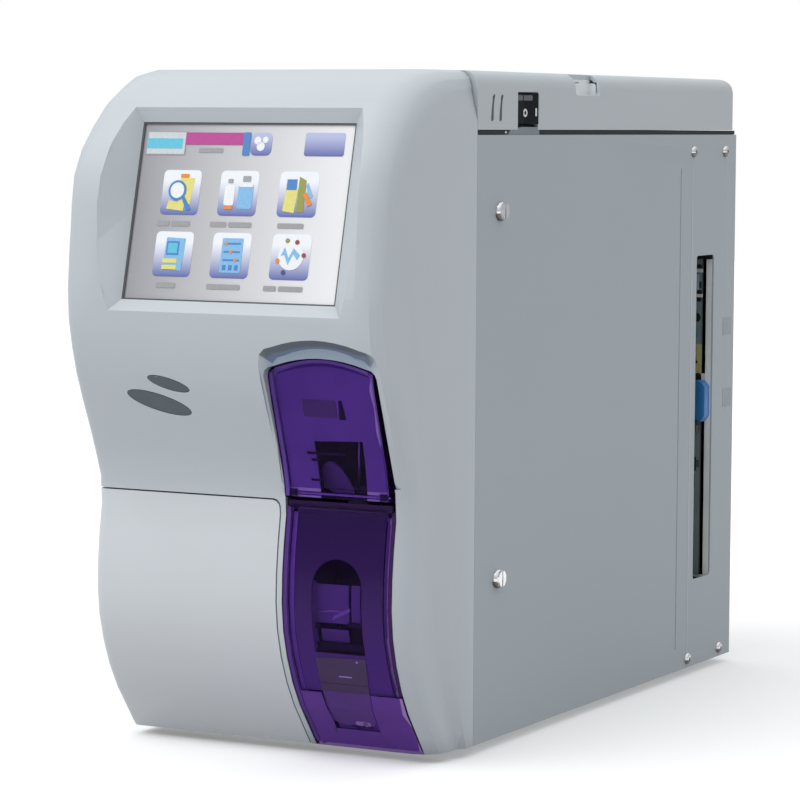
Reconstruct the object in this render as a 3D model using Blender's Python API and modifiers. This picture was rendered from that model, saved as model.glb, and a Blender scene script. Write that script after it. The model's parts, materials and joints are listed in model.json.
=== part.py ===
"""Compact benchtop blood analyser, modelled in metres with +Z up.

The instrument stands on its feet at Z = 0. Its front faces -Y and its width
runs along X. A moulded front with an S-shaped profile carries the display, a
hinged service door and the sampling station, where a clear purple tube door
tilts forward under a purple probe cover. Painted steel panels and a lid close
the body around the chassis, the fluid parts and the electronics.
"""

import math

import bmesh
import bpy
import numpy as np
from mathutils import Matrix, Vector

# Overall sizes of the instrument
BODY_WIDTH = 0.185
BODY_DEPTH = 0.460
BODY_HEIGHT = 0.350
FOOT_HEIGHT = 0.005
REAR_FITTING_REACH = 0.016

# Clearances shared by fitted pieces
FIT_GAP = 0.0003
SHUT_LINE = 0.0008
OVERRUN = 0.002

# Front moulding and its S-shaped profile
MOULDING_LENGTH = 0.0973
PROFILE_DEPTH = 0.0675
MOULDING_WALL = 0.0028
RIGHT_CORNER = 0.014
LEFT_CORNER = 0.005
CROWN_CORNER = 0.020
SIDE_STEP = 0.0035
PROFILE_ROWS = 30
CORNER_STEPS = 3

# Lid and the seam under it
LID_HEIGHT = 0.030
LID_EDGE = 0.008
LID_WALL = 0.0025
LID_SEAM = 0.0026
VENT_WIDTH = 0.0013
VENT_HEIGHT = 0.012
VENT_SPACING = 0.0095
VENT_SETBACK = 0.0172
VENT_DROP = 0.013
NOTCH_LENGTH = 0.031
NOTCH_HEIGHT = 0.0075
NOTCH_DEPTH = 0.0065
NOTCH_BEHIND_SEAM = 0.1335

# Display in its funnel-shaped recess
SCREEN_SIDE = 0.031
SCREEN_HEIGHT = 0.0915
SCREEN_TILT = math.radians(13.6)
SCREEN_DROP = 0.116
SCREEN_INSET = 0.0055
FUNNEL_SIDE = 0.0055
FUNNEL_BULGE = 0.008
FUNNEL_TOP = 0.011
FUNNEL_BOTTOM = 0.006
FUNNEL_STEPS = 6
GASKET_WIDTH = 0.0016
GASKET_THICKNESS = 0.0008
PANEL_MARGIN = 0.003
TOUCH_THICKNESS = 0.002
LCD_THICKNESS = 0.009
LCD_BOARD_STANDOFF = 0.004

# Service door, lower left of the front
DOOR_RIGHT = 0.016
DOOR_TOP = 0.134
DOOR_CORNER = 0.004
DOOR_RETURN = 0.0265
KNUCKLE_RADIUS = 0.0024
DOOR_PIN_RADIUS = 0.001
HINGE_SEAT = 0.006
DOOR_HEEL_HEIGHT = 0.024

# Sampling station: tube door below, probe cover above
STATION_LEFT = 0.020
STATION_SIDE = 0.0115
TUBE_DOOR_TOP = 0.1325
TUBE_DOOR_CORNER = 0.003
TUBE_DOOR_WALL = 0.0022
TUBE_DOOR_SKIRT = 0.0065
TUBE_HINGE_HEIGHT = 0.0095
TUBE_HINGE_SETBACK = 0.0705
TUBE_HINGE_RADIUS = 0.003
TUBE_PIN_RADIUS = 0.0014
LINER_WALL = 0.0016
LINER_MARGIN = 0.0055
LINER_TOP_DROP = 0.004
LINER_STEP_HEIGHT = 0.037
LINER_STEP_WIDTH = 0.011
WINDOW_RADIUS = 0.01425
WINDOW_SPRING = 0.092
WINDOW_FOOT = 0.058

# Probe cover over the upper half of the station
COVER_SIDE_GAP = 0.0015
COVER_FOOT = 0.1355
COVER_SAG = 0.0045
COVER_DROP = 0.0099
COVER_LEAN = math.radians(6)
COVER_CORNER = 0.005
COVER_PROUD = 0.0015
COVER_SKIRT = 0.006
COVER_WALL = 0.0022
COVER_BARREL = 0.003
COVER_PIN_RADIUS = 0.0009
COVER_LUG_RADIUS = 0.0017
COVER_LUG_WIDTH = 0.003
COVER_LUG_INSET = 0.0028
COVER_BEAM_SETBACK = 0.0076
COVER_BEAM_DEPTH = 0.004

# Finger recess around the probe cover
RECESS_SPREAD_LEFT = 0.0015
RECESS_SPREAD_RIGHT = 0.0035
RECESS_SAG = 0.0041
RECESS_BELOW_SCREEN = 0.0106
RECESS_FOOT = 0.143
RECESS_CORNER = 0.0085
RECESS_WALL_RUN = 0.0045
RECESS_DEPTH = 0.0055
ARCH_STEPS = 8

# Two oval status lamps on the front
LAMP_LARGE_X = -0.0439
LAMP_DROP = 0.1681
LAMP_LARGE_LENGTH = 0.0366
LAMP_LARGE_WIDTH = 0.0086
LAMP_SMALL_X = -0.036
LAMP_RISE = 0.0101
LAMP_SMALL_LENGTH = 0.0238
LAMP_SMALL_WIDTH = 0.0056
LAMP_TILT = math.radians(-14)
LAMP_SIDES = 28

# Sheet metal
PANEL_SHEET = 0.0012
CHASSIS_SHEET = 0.0015
PAN_FRONT = 0.080
PAN_RIM = 0.017
BULKHEAD_SETBACK = 0.130
BULKHEAD_FLANGE = 0.0145
TOP_FRAME_FLANGE = 0.019
TOP_FRAME_RIM = 0.014

# Right side panel: groove and connector slot
GROOVE_FROM_REAR = 0.0842
GROOVE_WIDTH = 0.0016
GROOVE_DEPTH = 0.0005
GROOVE_FOOT = 0.018
GROOVE_DROP = 0.0194
SLOT_FROM_REAR = 0.0325
SLOT_WIDTH = 0.0259
SLOT_FOOT = 0.0563
SLOT_DROP = 0.0706
SLOT_CORNER = 0.002

# Thumb screws and small screws on the side panels
THUMB_RADIUS = 0.005
THUMB_HEAD = 0.0035
THUMB_SHANK_RADIUS = 0.002
THUMB_SHANK = 0.0065
THUMB_FROM_SEAM = 0.0262
THUMB_DROP = 0.0389
THUMB_LOWER = 0.0887
SMALL_HEAD_RADIUS = 0.0031
SMALL_HEAD = 0.0016
SMALL_SHANK_RADIUS = 0.0014
SMALL_SHANK = 0.0045
SMALL_REAR_FROM_REAR = 0.0176
SMALL_SPACING = 0.048
SMALL_DROP = 0.0098
SMALL_LOWER = 0.0105
SCREW_SIDES = 10
SLOT_CUT_WIDTH = 0.0012
SLOT_CUT_DEPTH = 0.0009

# Power switch in the lid's right side
SWITCH_FROM_SEAM = 0.0467
SWITCH_LENGTH = 0.024
SWITCH_TOP_DROP = 0.0105
SWITCH_DEPTH = 0.018
SWITCH_WALL = 0.0012
ROCKER_LENGTH = 0.020
ROCKER_HEIGHT = 0.0165
ROCKER_DEPTH = 0.011
ROCKER_PIN_RADIUS = 0.0012
ROCKER_PIVOT_DEPTH = 0.0075
ROCKER_THROW = math.radians(14)
SWITCH_SILL = 0.0025

# Feet
FOOT_RADIUS = 0.009
FOOT_TAPER = 0.0015
FOOT_INSET_X = 0.030
FOOT_FROM_FRONT = 0.105
FOOT_FROM_REAR = 0.055

# Rear panel fittings
FAN_SIZE = 0.060
FAN_DEPTH = 0.020
FAN_BORE = 0.0275
FAN_HUB = 0.011
FAN_BLADES = 7
FAN_BLADE_TIP_GAP = 0.0015
FAN_DROP = 0.0824
FAN_X = -0.030
FAN_STRUT = 0.003
FAN_AXLE = 0.002
GUARD_WIRE = 0.0012
GUARD_RINGS = 2
INLET_FROM_LEFT = 0.0375
INLET_Z = 0.052
INLET_WIDTH = 0.0275
INLET_HEIGHT = 0.020
INLET_DEPTH = 0.018
INLET_FLANGE = 0.006
INLET_FLANGE_THICKNESS = 0.003
INLET_WALL = 0.002
INLET_PIN = 0.002
INLET_PIN_SPACING = 0.007
PORT_X = 0.030
PORT_Z = 0.060
PORT_SPACING = 0.024
PORT_RADIUS = 0.0045
PORT_BORE = 0.0018
PORT_FLANGE_RADIUS = 0.008
PORT_BARBS = 2

# Sample bay behind the tube door
BAY_CLEARANCE = 0.0014
BAY_WALL = 0.0015
BAY_REAR_SETBACK = 0.088
NEEDLE_ACROSS = 0.0295
NEEDLE_SETBACK = 0.053
NEEDLE_SLOT = 0.012
NEEDLE_SLOT_FOOT = 0.060
NEEDLE_SLOT_DROP = 0.0015

# Piercing mechanism
FRAME_WIDTH = 0.054
FRAME_FOOT = 0.046
FRAME_ABOVE_COVER = 0.0065
FRAME_SHEET = 0.003
FRAME_DEPTH = 0.034
ROD_RADIUS = 0.003
ROD_SPACING = 0.040
ROD_SETBACK = 0.016
SCREW_RADIUS = 0.004
SCREW_CORE_SHARE = 0.78
SCREW_LEAD = 0.012
SCREW_JOURNAL = 0.002
CARRIAGE_HEIGHT = 0.018
CARRIAGE_WIDTH = 0.050
CARRIAGE_DEPTH = 0.012
CARRIAGE_DROP = 0.014
ARM_WIDTH = 0.009
ARM_THICKNESS = 0.006
BORE_CLEARANCE = 0.0003
NEEDLE_RADIUS = 0.0009
NEEDLE_TIP = 0.004
NEEDLE_FOOT = 0.129
NEEDLE_BLOCK = 0.010
RINSE_RADIUS = 0.0055
RINSE_HEIGHT = 0.013
RINSE_TOP = 0.140
RINSE_BORE = 0.0018
RINSE_ARM = 0.004
MOTOR_SIZE = 0.028
MOTOR_HEIGHT = 0.026
MOTOR_CORNER = 0.004
MOTOR_SHAFT_RADIUS = 0.0024

# Tube adapter in the tube door
ADAPTER_RADIUS = 0.0102
ADAPTER_BORE = 0.0068
ADAPTER_FOOT = 0.047
ADAPTER_TOP = 0.078
ADAPTER_FLOOR = 0.003
CRADLE_HEIGHT = 0.004
CRADLE_WIDTH = 0.020

# Service bay behind the service door
SYRINGE_FROM_LEFT = 0.0295
SYRINGE_SETBACK = 0.0815
SYRINGE_RADIUS = 0.0065
SYRINGE_BORE = 0.0045
SYRINGE_FOOT = 0.072
SYRINGE_LENGTH = 0.050
PLUNGER_HEAD = 0.0042
PLUNGER_ROD = 0.0018
PLUNGER_TRAVEL = 0.028
CLAMP_DEPTH = 0.014
CLAMP_HEIGHT = 0.008
CLAMP_PLATE = 0.002
CLAMP_WIDTH = 0.020
STAGE_HEIGHT = 0.005
SYRINGE_MOTOR_TOP = 0.033
SYRINGE_SHAFT_OFFSET = 0.005
JAR_FROM_SYRINGE = 0.037
JAR_SETBACK = 0.083
JAR_RADIUS = 0.016
JAR_WALL = 0.0018
JAR_FOOT = 0.020
JAR_HEIGHT = 0.064
JAR_CAP = 0.010
JAR_SHELF = 0.002
VALVE_COUNT = 4
VALVE_SIZE = 0.0135
VALVE_HEIGHT = 0.022
VALVE_SPACING = 0.0165
VALVE_COIL_RADIUS = 0.0058
MANIFOLD_FROM_LEFT = 0.0495
MANIFOLD_Z = 0.166
MANIFOLD_HEIGHT = 0.016
MANIFOLD_DEPTH = 0.012

# Measuring block, pump, supply and boards in the body
DETECTOR_X = -0.030
DETECTOR_Z = 0.215
DETECTOR_SIZE = 0.034
DETECTOR_DEPTH = 0.028
DETECTOR_BORE = 0.006
PUMP_FROM_LEFT = 0.0405
PUMP_FROM_REAR = 0.215
PUMP_RADIUS = 0.017
PUMP_LENGTH = 0.048
PUMP_HEAD = 0.022
PUMP_HEAD_SIZE = 0.040
PUMP_CRADLE = 0.003
SUPPLY_WIDTH = 0.078
SUPPLY_LENGTH = 0.098
SUPPLY_HEIGHT = 0.042
SUPPLY_FROM_REAR = 0.145
SUPPLY_X = 0.012
SUPPLY_SHEET = 0.001
SUPPLY_VENTS = 7
SUPPLY_VENT_WIDTH = 0.0025
BOARD_THICKNESS = 0.0016
BOARD_STANDOFF = 0.0145
BOARD_FOOT = 0.050
BOARD_ABOVE_SLOT = 0.0072
BOARD_LENGTH = 0.142
BOARD_FROM_REAR = 0.042
BOARD_POST_RADIUS = 0.003
CHIP_SIZE = 0.020
CHIP_HEIGHT = 0.0026
CONNECTOR_LENGTH = 0.012
CONNECTOR_HEIGHT = 0.006
SERIAL_WIDTH = 0.012
SERIAL_HEIGHT = 0.023
SERIAL_FOOT = 0.150
SERIAL_REACH = 0.0125

# Tubing inside the body
TUBE_RADIUS = 0.0016
TUBE_POINTS = 24

# Profile of the front: share of the height, share of the profile's depth
profile_shares = [
    (0.0, 0.94), (0.10, 0.575), (0.20, 0.41), (0.28, 0.41), (0.38, 0.462),
    (0.46, 0.315), (0.56, 0.10), (0.65, 0.0), (0.75, 0.035), (0.86, 0.12),
    (0.92, 0.29), (0.97, 0.51), (0.99, 0.73), (1.0, 1.0),
]

# Band on the right side: share along the profile, where it starts, where it ends
band_shares = [
    (0.0, 0.65, 0.78), (0.05, 0.60, 0.70), (0.10, 0.53, 0.64), (0.15, 0.465, 0.575),
    (0.20, 0.45, 0.545), (0.30, 0.455, 0.58), (0.40, 0.465, 0.625), (0.50, 0.43, 0.63),
    (0.58, 0.395, 0.58), (0.65, 0.39, 0.575), (0.75, 0.45, 0.65), (0.85, 0.46, 0.72),
    (0.95, 0.40, 0.80), (1.0, 0.36, 0.92),
]

# How much of its depth the finger recess keeps at its foot
RECESS_FADE_SHARE = 0.22

# Shares of a size, chosen by eye
SCREW_TAPER_SHARE = 0.86
KEEL_SHARE = 0.42
SPOKE_SHARE = 0.8
BLADE_SPAN_SHARE = 0.86
PORT_NECK_SHARE = 0.62
PORT_BARB_SHARE = 0.9
PORT_SEAT_SHARE = 0.7
BARB_RUN_SHARE = 0.8
THREAD_ROOT_SHARE = 0.25
THREAD_CREST_SHARE = 0.15
RINSE_GRIP_SHARE = 0.8
RINSE_BAR_TOP_SHARE = 0.6
RINSE_BAR_FOOT_SHARE = 1.6
JAR_NECK_SHARE = 0.7
PUMP_PORT_SHARE = 0.75
PUMP_FOOT_SHARE = 0.75
CHIP_SMALL_SHARE = 0.6
SOCKET_SHARE = 0.8
SOCKET_PITCH_SHARE = 1.2
chip_row_shares = (0.14, 0.38, 0.62, 0.86)
chip_column_shares = (0.2, 0.45, 0.7)

# Pitch of a fan blade at its root, middle and tip
BLADE_PITCHES = (math.radians(48), math.radians(38), math.radians(30))

# Where the side lines stop being level and start to fan up to the seam's top
FAN_START_SHARE = 0.46
FAN_ENTRY_SHARE = 0.95
FAN_EXIT_SHARE = 0.15
CROWN_START_SHARE = 0.74
CROWN_PEAK_SHARE = 0.86

# Places worked out from the sizes above
HALF_WIDTH = BODY_WIDTH / 2
FRONT_Y = -BODY_DEPTH / 2
REAR_Y = BODY_DEPTH / 2 - REAR_FITTING_REACH
SEAM_Y = FRONT_Y + MOULDING_LENGTH
LID_FOOT = BODY_HEIGHT - LID_HEIGHT
PANEL_TOP = LID_FOOT - LID_SEAM
PANEL_INNER = HALF_WIDTH - PANEL_SHEET
CHASSIS_HALF = PANEL_INNER - FIT_GAP
REAR_INNER = REAR_Y - PANEL_SHEET
PAN_UNDER = FOOT_HEIGHT + FIT_GAP
PAN_FLOOR = PAN_UNDER + CHASSIS_SHEET
BULKHEAD_Y = FRONT_Y + BULKHEAD_SETBACK
BULKHEAD_FACE = BULKHEAD_Y - CHASSIS_SHEET
BULKHEAD_TOP = PANEL_TOP - FIT_GAP
FRAME_UNDER = PANEL_TOP + FIT_GAP
NEEDLE_Y = FRONT_Y + NEEDLE_SETBACK
ROD_Y = BULKHEAD_FACE - ROD_SETBACK
BAY_REAR = FRONT_Y + BAY_REAR_SETBACK
SLOT_REAR = REAR_Y - SLOT_FROM_REAR
SLOT_FRONT = SLOT_REAR - SLOT_WIDTH
BOARD_X = PANEL_INNER - BOARD_STANDOFF
BOARD_REAR = REAR_Y - BOARD_FROM_REAR
THUMB_Y = SEAM_Y + THUMB_FROM_SEAM
THUMB_UPPER = PANEL_TOP - THUMB_DROP
SMALL_UPPER = PANEL_TOP - SMALL_DROP
GROOVE_TOP = PANEL_TOP - GROOVE_DROP
SLOT_TOP = PANEL_TOP - SLOT_DROP
BOARD_TOP = SLOT_TOP + BOARD_ABOVE_SLOT
FAN_HEIGHT = PANEL_TOP - FAN_DROP
SCREEN_WIDTH = BODY_WIDTH - 2 * SCREEN_SIDE
SCREEN_FOOT = BODY_HEIGHT - SCREEN_DROP
LAMP_LARGE_Z = BODY_HEIGHT - LAMP_DROP
LAMP_SMALL_Z = LAMP_LARGE_Z + LAMP_RISE
STATION_RIGHT = HALF_WIDTH - STATION_SIDE
LINER_DEPTH = TUBE_DOOR_WALL + FIT_GAP
RECESS_LEFT = STATION_LEFT - RECESS_SPREAD_LEFT
RECESS_RIGHT = STATION_RIGHT + RECESS_SPREAD_RIGHT
RECESS_CROWN = SCREEN_FOOT - FUNNEL_BOTTOM - RECESS_BELOW_SCREEN
RECESS_SHOULDER = RECESS_CROWN - RECESS_SAG
COVER_RIGHT = STATION_RIGHT - COVER_SIDE_GAP
COVER_CROWN = RECESS_CROWN - COVER_DROP
COVER_SHOULDER = COVER_CROWN - COVER_SAG
NEEDLE_X = STATION_LEFT + NEEDLE_ACROSS
NEEDLE_SLOT_TOP = COVER_CROWN - NEEDLE_SLOT_DROP
FRAME_TOP = COVER_CROWN + FRAME_ABOVE_COVER
CARRIAGE_Z = FRAME_TOP - CARRIAGE_DROP
SYRINGE_X = SYRINGE_FROM_LEFT - HALF_WIDTH
JAR_X = SYRINGE_X + JAR_FROM_SYRINGE
MANIFOLD_X = MANIFOLD_FROM_LEFT - HALF_WIDTH
PUMP_X = PUMP_FROM_LEFT - HALF_WIDTH
INLET_X = INLET_FROM_LEFT - HALF_WIDTH

COLLECTION_NAME = "blood_analyser"
CUTTER_NAME = "cutters"


# Scene and materials

def clear_scene():
    """Empty the scene and make one collection for parts and one for cutters."""
    for item in list(bpy.data.objects):
        bpy.data.objects.remove(item, do_unlink=True)
    homes = {}
    for name in (COLLECTION_NAME, CUTTER_NAME):
        home = bpy.data.collections.new(name)
        bpy.context.scene.collection.children.link(home)
        homes[name] = home
    return homes


homes = clear_scene()
FINISHES = {
    "moulding": ((0.62, 0.66, 0.69), 0.45, 0.0),
    "panel_paint": ((0.36, 0.40, 0.42), 0.55, 0.0),
    "clear_purple": ((0.09, 0.03, 0.26), 0.12, 0.0),
    "smoked_lens": ((0.09, 0.11, 0.13), 0.25, 0.0),
    "screen": ((0.62, 0.63, 0.65), 0.12, 0.0),
    "black_plastic": ((0.02, 0.02, 0.022), 0.4, 0.0),
    "grey_plastic": ((0.25, 0.28, 0.30), 0.5, 0.0),
    "white_plastic": ((0.80, 0.80, 0.78), 0.5, 0.0),
    "blue_plastic": ((0.03, 0.16, 0.46), 0.4, 0.0),
    "chrome": ((0.80, 0.80, 0.80), 0.12, 1.0),
    "zinc_steel": ((0.55, 0.56, 0.56), 0.35, 1.0),
    "aluminium": ((0.70, 0.71, 0.72), 0.35, 1.0),
    "rubber": ((0.03, 0.03, 0.03), 0.8, 0.0),
    "board_green": ((0.02, 0.14, 0.06), 0.5, 0.0),
    "clear_acrylic": ((0.75, 0.80, 0.82), 0.1, 0.0),
    "silicone_tube": ((0.75, 0.75, 0.70), 0.35, 0.0),
}
materials = {}


def finish(key):
    """The Principled material of one finish, made at its first use."""
    if key not in materials:
        colour, roughness, metallic = FINISHES[key]
        made = bpy.data.materials.new(key)
        made.use_nodes = True
        shader = made.node_tree.nodes["Principled BSDF"]
        shader.inputs["Base Color"].default_value = (*colour, 1.0)
        shader.inputs["Roughness"].default_value = roughness
        shader.inputs["Metallic"].default_value = metallic
        made.diffuse_color = (*colour, 1.0)
        materials[key] = made
    return materials[key]


# Small tools for shapes

def shape(name, sketch):
    """Turn a finished bmesh into a named object among the cutters."""
    mesh = bpy.data.meshes.new(name)
    sketch.to_mesh(mesh)
    sketch.free()
    made = bpy.data.objects.new(name, mesh)
    homes[CUTTER_NAME].objects.link(made)
    made.hide_render = True
    made.display_type = "WIRE"
    return made


def part(made, name, key, smooth_angle=40):
    """Name a finished shape as a sub-part and give it its material."""
    made.name = name
    made.data.name = name
    homes[CUTTER_NAME].objects.unlink(made)
    homes[COLLECTION_NAME].objects.link(made)
    made.hide_render = False
    made.display_type = "TEXTURED"
    made.data.materials.clear()
    made.data.materials.append(finish(key))
    if made.type == "MESH":
        made.data.shade_smooth()
        made.data.set_sharp_from_angle(angle=math.radians(smooth_angle))
    return made


def block(name, low, high, bevel=0.0, steps=2, upright_only=False):
    """A box between two corners, with its edges rounded if a radius is given."""
    low, high = Vector(low), Vector(high)
    sketch = bmesh.new()
    bmesh.ops.create_cube(sketch, size=1.0)
    bmesh.ops.scale(sketch, vec=high - low, verts=sketch.verts)
    if bevel > 0:
        edges = sketch.edges[:]
        if upright_only:
            edges = [e for e in edges if e.verts[0].co.z * e.verts[1].co.z < 0]
        bmesh.ops.bevel(
            sketch, geom=edges, offset=bevel, segments=steps, profile=0.5,
            affect="EDGES", clamp_overlap=True, material=-1)
    made = shape(name, sketch)
    made.location = (low + high) / 2
    return made


def rod(name, start, end, radius, end_radius=None, sides=16):
    """A round bar or a cone between two points."""
    start, end = Vector(start), Vector(end)
    along = end - start
    sketch = bmesh.new()
    bmesh.ops.create_cone(
        sketch, cap_ends=True, segments=sides, radius1=radius,
        radius2=radius if end_radius is None else end_radius, depth=along.length)
    made = shape(name, sketch)
    made.rotation_mode = "QUATERNION"
    made.rotation_quaternion = along.to_track_quat("Z", "Y")
    made.location = (start + end) / 2
    return made


def prism(name, outline, low, high, along="Y"):
    """A flat outline pushed along one axis. The outline's pair fills the other two."""
    places = {
        "X": lambda a, b, c: (c, a, b),
        "Y": lambda a, b, c: (a, c, b),
        "Z": lambda a, b, c: (a, b, c),
    }[along]
    sketch = bmesh.new()
    base = sketch.faces.new([sketch.verts.new(places(a, b, low)) for a, b in outline])
    pushed = bmesh.ops.extrude_face_region(sketch, geom=[base])
    corners = [v for v in pushed["geom"] if isinstance(v, bmesh.types.BMVert)]
    step = Vector(places(0, 0, high)) - Vector(places(0, 0, low))
    bmesh.ops.translate(sketch, vec=step, verts=corners)
    bmesh.ops.recalc_face_normals(sketch, faces=sketch.faces)
    return shape(name, sketch)


def turned(name, profile, steps=20, pitch=0.0, turns=1):
    """A profile of radius and height pairs, turned about Z by a Screw modifier."""
    sketch = bmesh.new()
    points = [sketch.verts.new((radius, 0, height)) for radius, height in profile]
    for first, second in zip(points, points[1:]):
        sketch.edges.new((first, second))
    if profile[0][0] > 0:
        sketch.edges.new((points[-1], points[0]))
    made = shape(name, sketch)
    screw = made.modifiers.new("turn", "SCREW")
    screw.axis = "Z"
    screw.steps = steps
    screw.render_steps = steps
    screw.screw_offset = pitch
    screw.iterations = turns
    screw.use_merge_vertices = True
    screw.merge_threshold = OVERRUN / 1000
    return made


def tube(name, route, radius, points=TUBE_POINTS):
    """A flexible tube along a smooth line through the points of its route."""
    curve = bpy.data.curves.new(name, "CURVE")
    curve.dimensions = "3D"
    curve.bevel_depth = radius
    curve.bevel_resolution = 2
    curve.use_fill_caps = True
    spline = curve.splines.new("POLY")
    line = smooth_through(route, points)
    spline.points.add(len(line) - 1)
    for place, point in zip(line, spline.points):
        point.co = (*place, 1.0)
    made = bpy.data.objects.new(name, curve)
    homes[CUTTER_NAME].objects.link(made)
    bpy.context.view_layer.update()
    graph = bpy.context.evaluated_depsgraph_get()
    mesh = bpy.data.meshes.new_from_object(made.evaluated_get(graph))
    bpy.data.objects.remove(made, do_unlink=True)
    sketch = bmesh.new()
    sketch.from_mesh(mesh)
    bpy.data.meshes.remove(mesh)
    bmesh.ops.remove_doubles(sketch, verts=sketch.verts, dist=radius / 100)
    bmesh.ops.recalc_face_normals(sketch, faces=sketch.faces)
    return shape(name, sketch)


def combine(target, tool, operation):
    """Add one exact Boolean to the target."""
    step = target.modifiers.new(operation.lower(), "BOOLEAN")
    step.operation = operation
    step.solver = "EXACT"
    step.object = tool
    return target


def cut(target, *tools):
    """Take each tool away from the target."""
    for tool in tools:
        combine(target, tool, "DIFFERENCE")
    return target


def unite(target, *tools):
    """Join each tool to the target."""
    for tool in tools:
        combine(target, tool, "UNION")
    return target


def common(target, tool):
    """Keep what the target shares with the tool."""
    return combine(target, tool, "INTERSECT")


def pivot(name, place, *pieces):
    """An empty on a joint's axis that carries the pieces of a moving body."""
    made = bpy.data.objects.new(name, None)
    homes[CUTTER_NAME].objects.link(made)
    made.location = place
    made.empty_display_size = FOOT_RADIUS
    made.hide_render = True
    bpy.context.view_layer.update()
    for piece in pieces:
        piece.parent = made
        piece.matrix_parent_inverse = made.matrix_world.inverted()
    return made


# Curves worked out from shares

def smooth_through(points, count):
    """Evenly spread points on a smooth curve through the given ones."""
    knots = np.array(points, dtype=float)
    steps = np.linalg.norm(np.diff(knots, axis=0), axis=1)
    places = np.concatenate([[0], np.cumsum(steps)])
    slopes = np.gradient(knots, places, axis=0)
    line = []
    for wanted in np.linspace(0, places[-1], count):
        index = min(int(np.searchsorted(places, wanted, side="right")) - 1, len(knots) - 2)
        length = places[index + 1] - places[index]
        t = (wanted - places[index]) / length
        line.append(
            knots[index] * (2 * t**3 - 3 * t**2 + 1)
            + slopes[index] * length * (t**3 - 2 * t**2 + t)
            + knots[index + 1] * (3 * t**2 - 2 * t**3)
            + slopes[index + 1] * length * (t**3 - t**2))
    return np.array(line)


def profile_line(rows):
    """The front's profile as depth and height pairs, foot to lid seam."""
    height = BODY_HEIGHT - FOOT_HEIGHT
    knots = [
        (FRONT_Y + depth_share * PROFILE_DEPTH, FOOT_HEIGHT + height_share * height)
        for height_share, depth_share in profile_shares
    ]
    knots.append((SEAM_Y, BODY_HEIGHT))
    line = smooth_through(knots, rows)
    line[:, 0] = np.maximum(line[:, 0], FRONT_Y)
    line[:, 1] = np.minimum(line[:, 1], BODY_HEIGHT)
    return line


FINE_PROFILE = profile_line(400)


def surface_y(height):
    """Depth of the front surface at one height, read off the fine profile."""
    rising = FINE_PROFILE[:, 1] < BODY_HEIGHT - LID_EDGE
    return float(np.interp(height, FINE_PROFILE[rising, 1], FINE_PROFILE[rising, 0]))


def seam_heights(line):
    """Height at which each row's side line meets the rear seam."""
    steps = np.linalg.norm(np.diff(line, axis=0), axis=1)
    along = np.concatenate([[0], np.cumsum(steps)])
    shares = along / along[-1]
    start_height = float(np.interp(FAN_START_SHARE, shares, line[:, 1]))
    reach = (1 - FAN_START_SHARE) * along[-1]
    top = LID_FOOT + OVERRUN
    heights = []
    for share, (_, height) in zip(shares, line):
        if share <= FAN_START_SHARE:
            heights.append(height)
            continue
        t = (share - FAN_START_SHARE) / (1 - FAN_START_SHARE)
        heights.append(
            start_height * (2 * t**3 - 3 * t**2 + 1)
            + reach * FAN_ENTRY_SHARE * (t**3 - 2 * t**2 + t)
            + top * (3 * t**2 - 2 * t**3)
            + reach * FAN_EXIT_SHARE * (t**3 - t**2))
    return shares, heights


def crown_radius(share, plain):
    """Corner radius along the profile: plain, fuller over the crown, lid-sized at the seam."""
    places = [0.0, CROWN_START_SHARE, CROWN_PEAK_SHARE, 1.0]
    return float(np.interp(share, places, [plain, plain, CROWN_CORNER, LID_EDGE]))


def section(share, length, inset):
    """One row's stations, left seam to right seam: X, and distance back from the front."""
    left = max(crown_radius(share, LEFT_CORNER) - inset, SHUT_LINE)
    right = max(crown_radius(share, RIGHT_CORNER) - inset, SHUT_LINE)
    half = HALF_WIDTH - inset
    starts = [row[0] for row in band_shares]
    band_start = float(np.interp(share, starts, [row[1] for row in band_shares])) * length
    band_end = float(np.interp(share, starts, [row[2] for row in band_shares])) * length
    stations = [(-half, length)]
    for index in range(CORNER_STEPS + 1):
        angle = math.pi / 2 * (1 - index / CORNER_STEPS)
        stations.append((-half + left * (1 - math.sin(angle)), left * (1 - math.cos(angle))))
    for index in range(CORNER_STEPS + 1):
        angle = math.pi / 2 * index / CORNER_STEPS
        stations.append((
            half - SIDE_STEP - right * (1 - math.sin(angle)), right * (1 - math.cos(angle))))
    stations.append((half - SIDE_STEP, max(band_start, right * (1 + FAN_EXIT_SHARE))))
    stations.append((half, band_end))
    stations.append((half, length))
    return stations


def front_sheet(name, inset=0.0, overrun=0.0):
    """The front's surface as an open grid, moved inward by the inset and run past its edges."""
    line = profile_line(PROFILE_ROWS)
    shares, heights = seam_heights(line)
    slopes = np.gradient(line, axis=0)
    slopes /= np.linalg.norm(slopes, axis=1)[:, None]
    inner = line + inset * np.stack([slopes[:, 1], -slopes[:, 0]], axis=1)
    foot = FOOT_HEIGHT - overrun
    inner[0] += (inner[0] - inner[1]) * (inner[0, 1] - foot) / (inner[1, 1] - inner[0, 1])
    heights[0] = foot
    inner[-1] = (SEAM_Y + overrun, BODY_HEIGHT - inset)
    columns = len(section(0.0, PROFILE_DEPTH, inset))
    sketch = bmesh.new()
    bmesh.ops.create_grid(
        sketch, x_segments=columns - 1, y_segments=PROFILE_ROWS - 1, size=0.5)
    for point in sketch.verts:
        column = round((point.co.x + 0.5) * (columns - 1))
        row = round((point.co.y + 0.5) * (PROFILE_ROWS - 1))
        start = Vector((0, *inner[row]))
        side = Vector((0, SEAM_Y + overrun, heights[row])) - start
        x, distance = section(shares[row], side.length, inset)[column]
        place = start + side.normalized() * distance
        point.co = (x, place.y, place.z)
    bmesh.ops.recalc_face_normals(sketch, faces=sketch.faces)
    middle = min(sketch.faces, key=lambda face: face.calc_center_median().y)
    if middle.normal.y > 0:
        bmesh.ops.reverse_faces(sketch, faces=sketch.faces)
    return shape(name, sketch)


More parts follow.
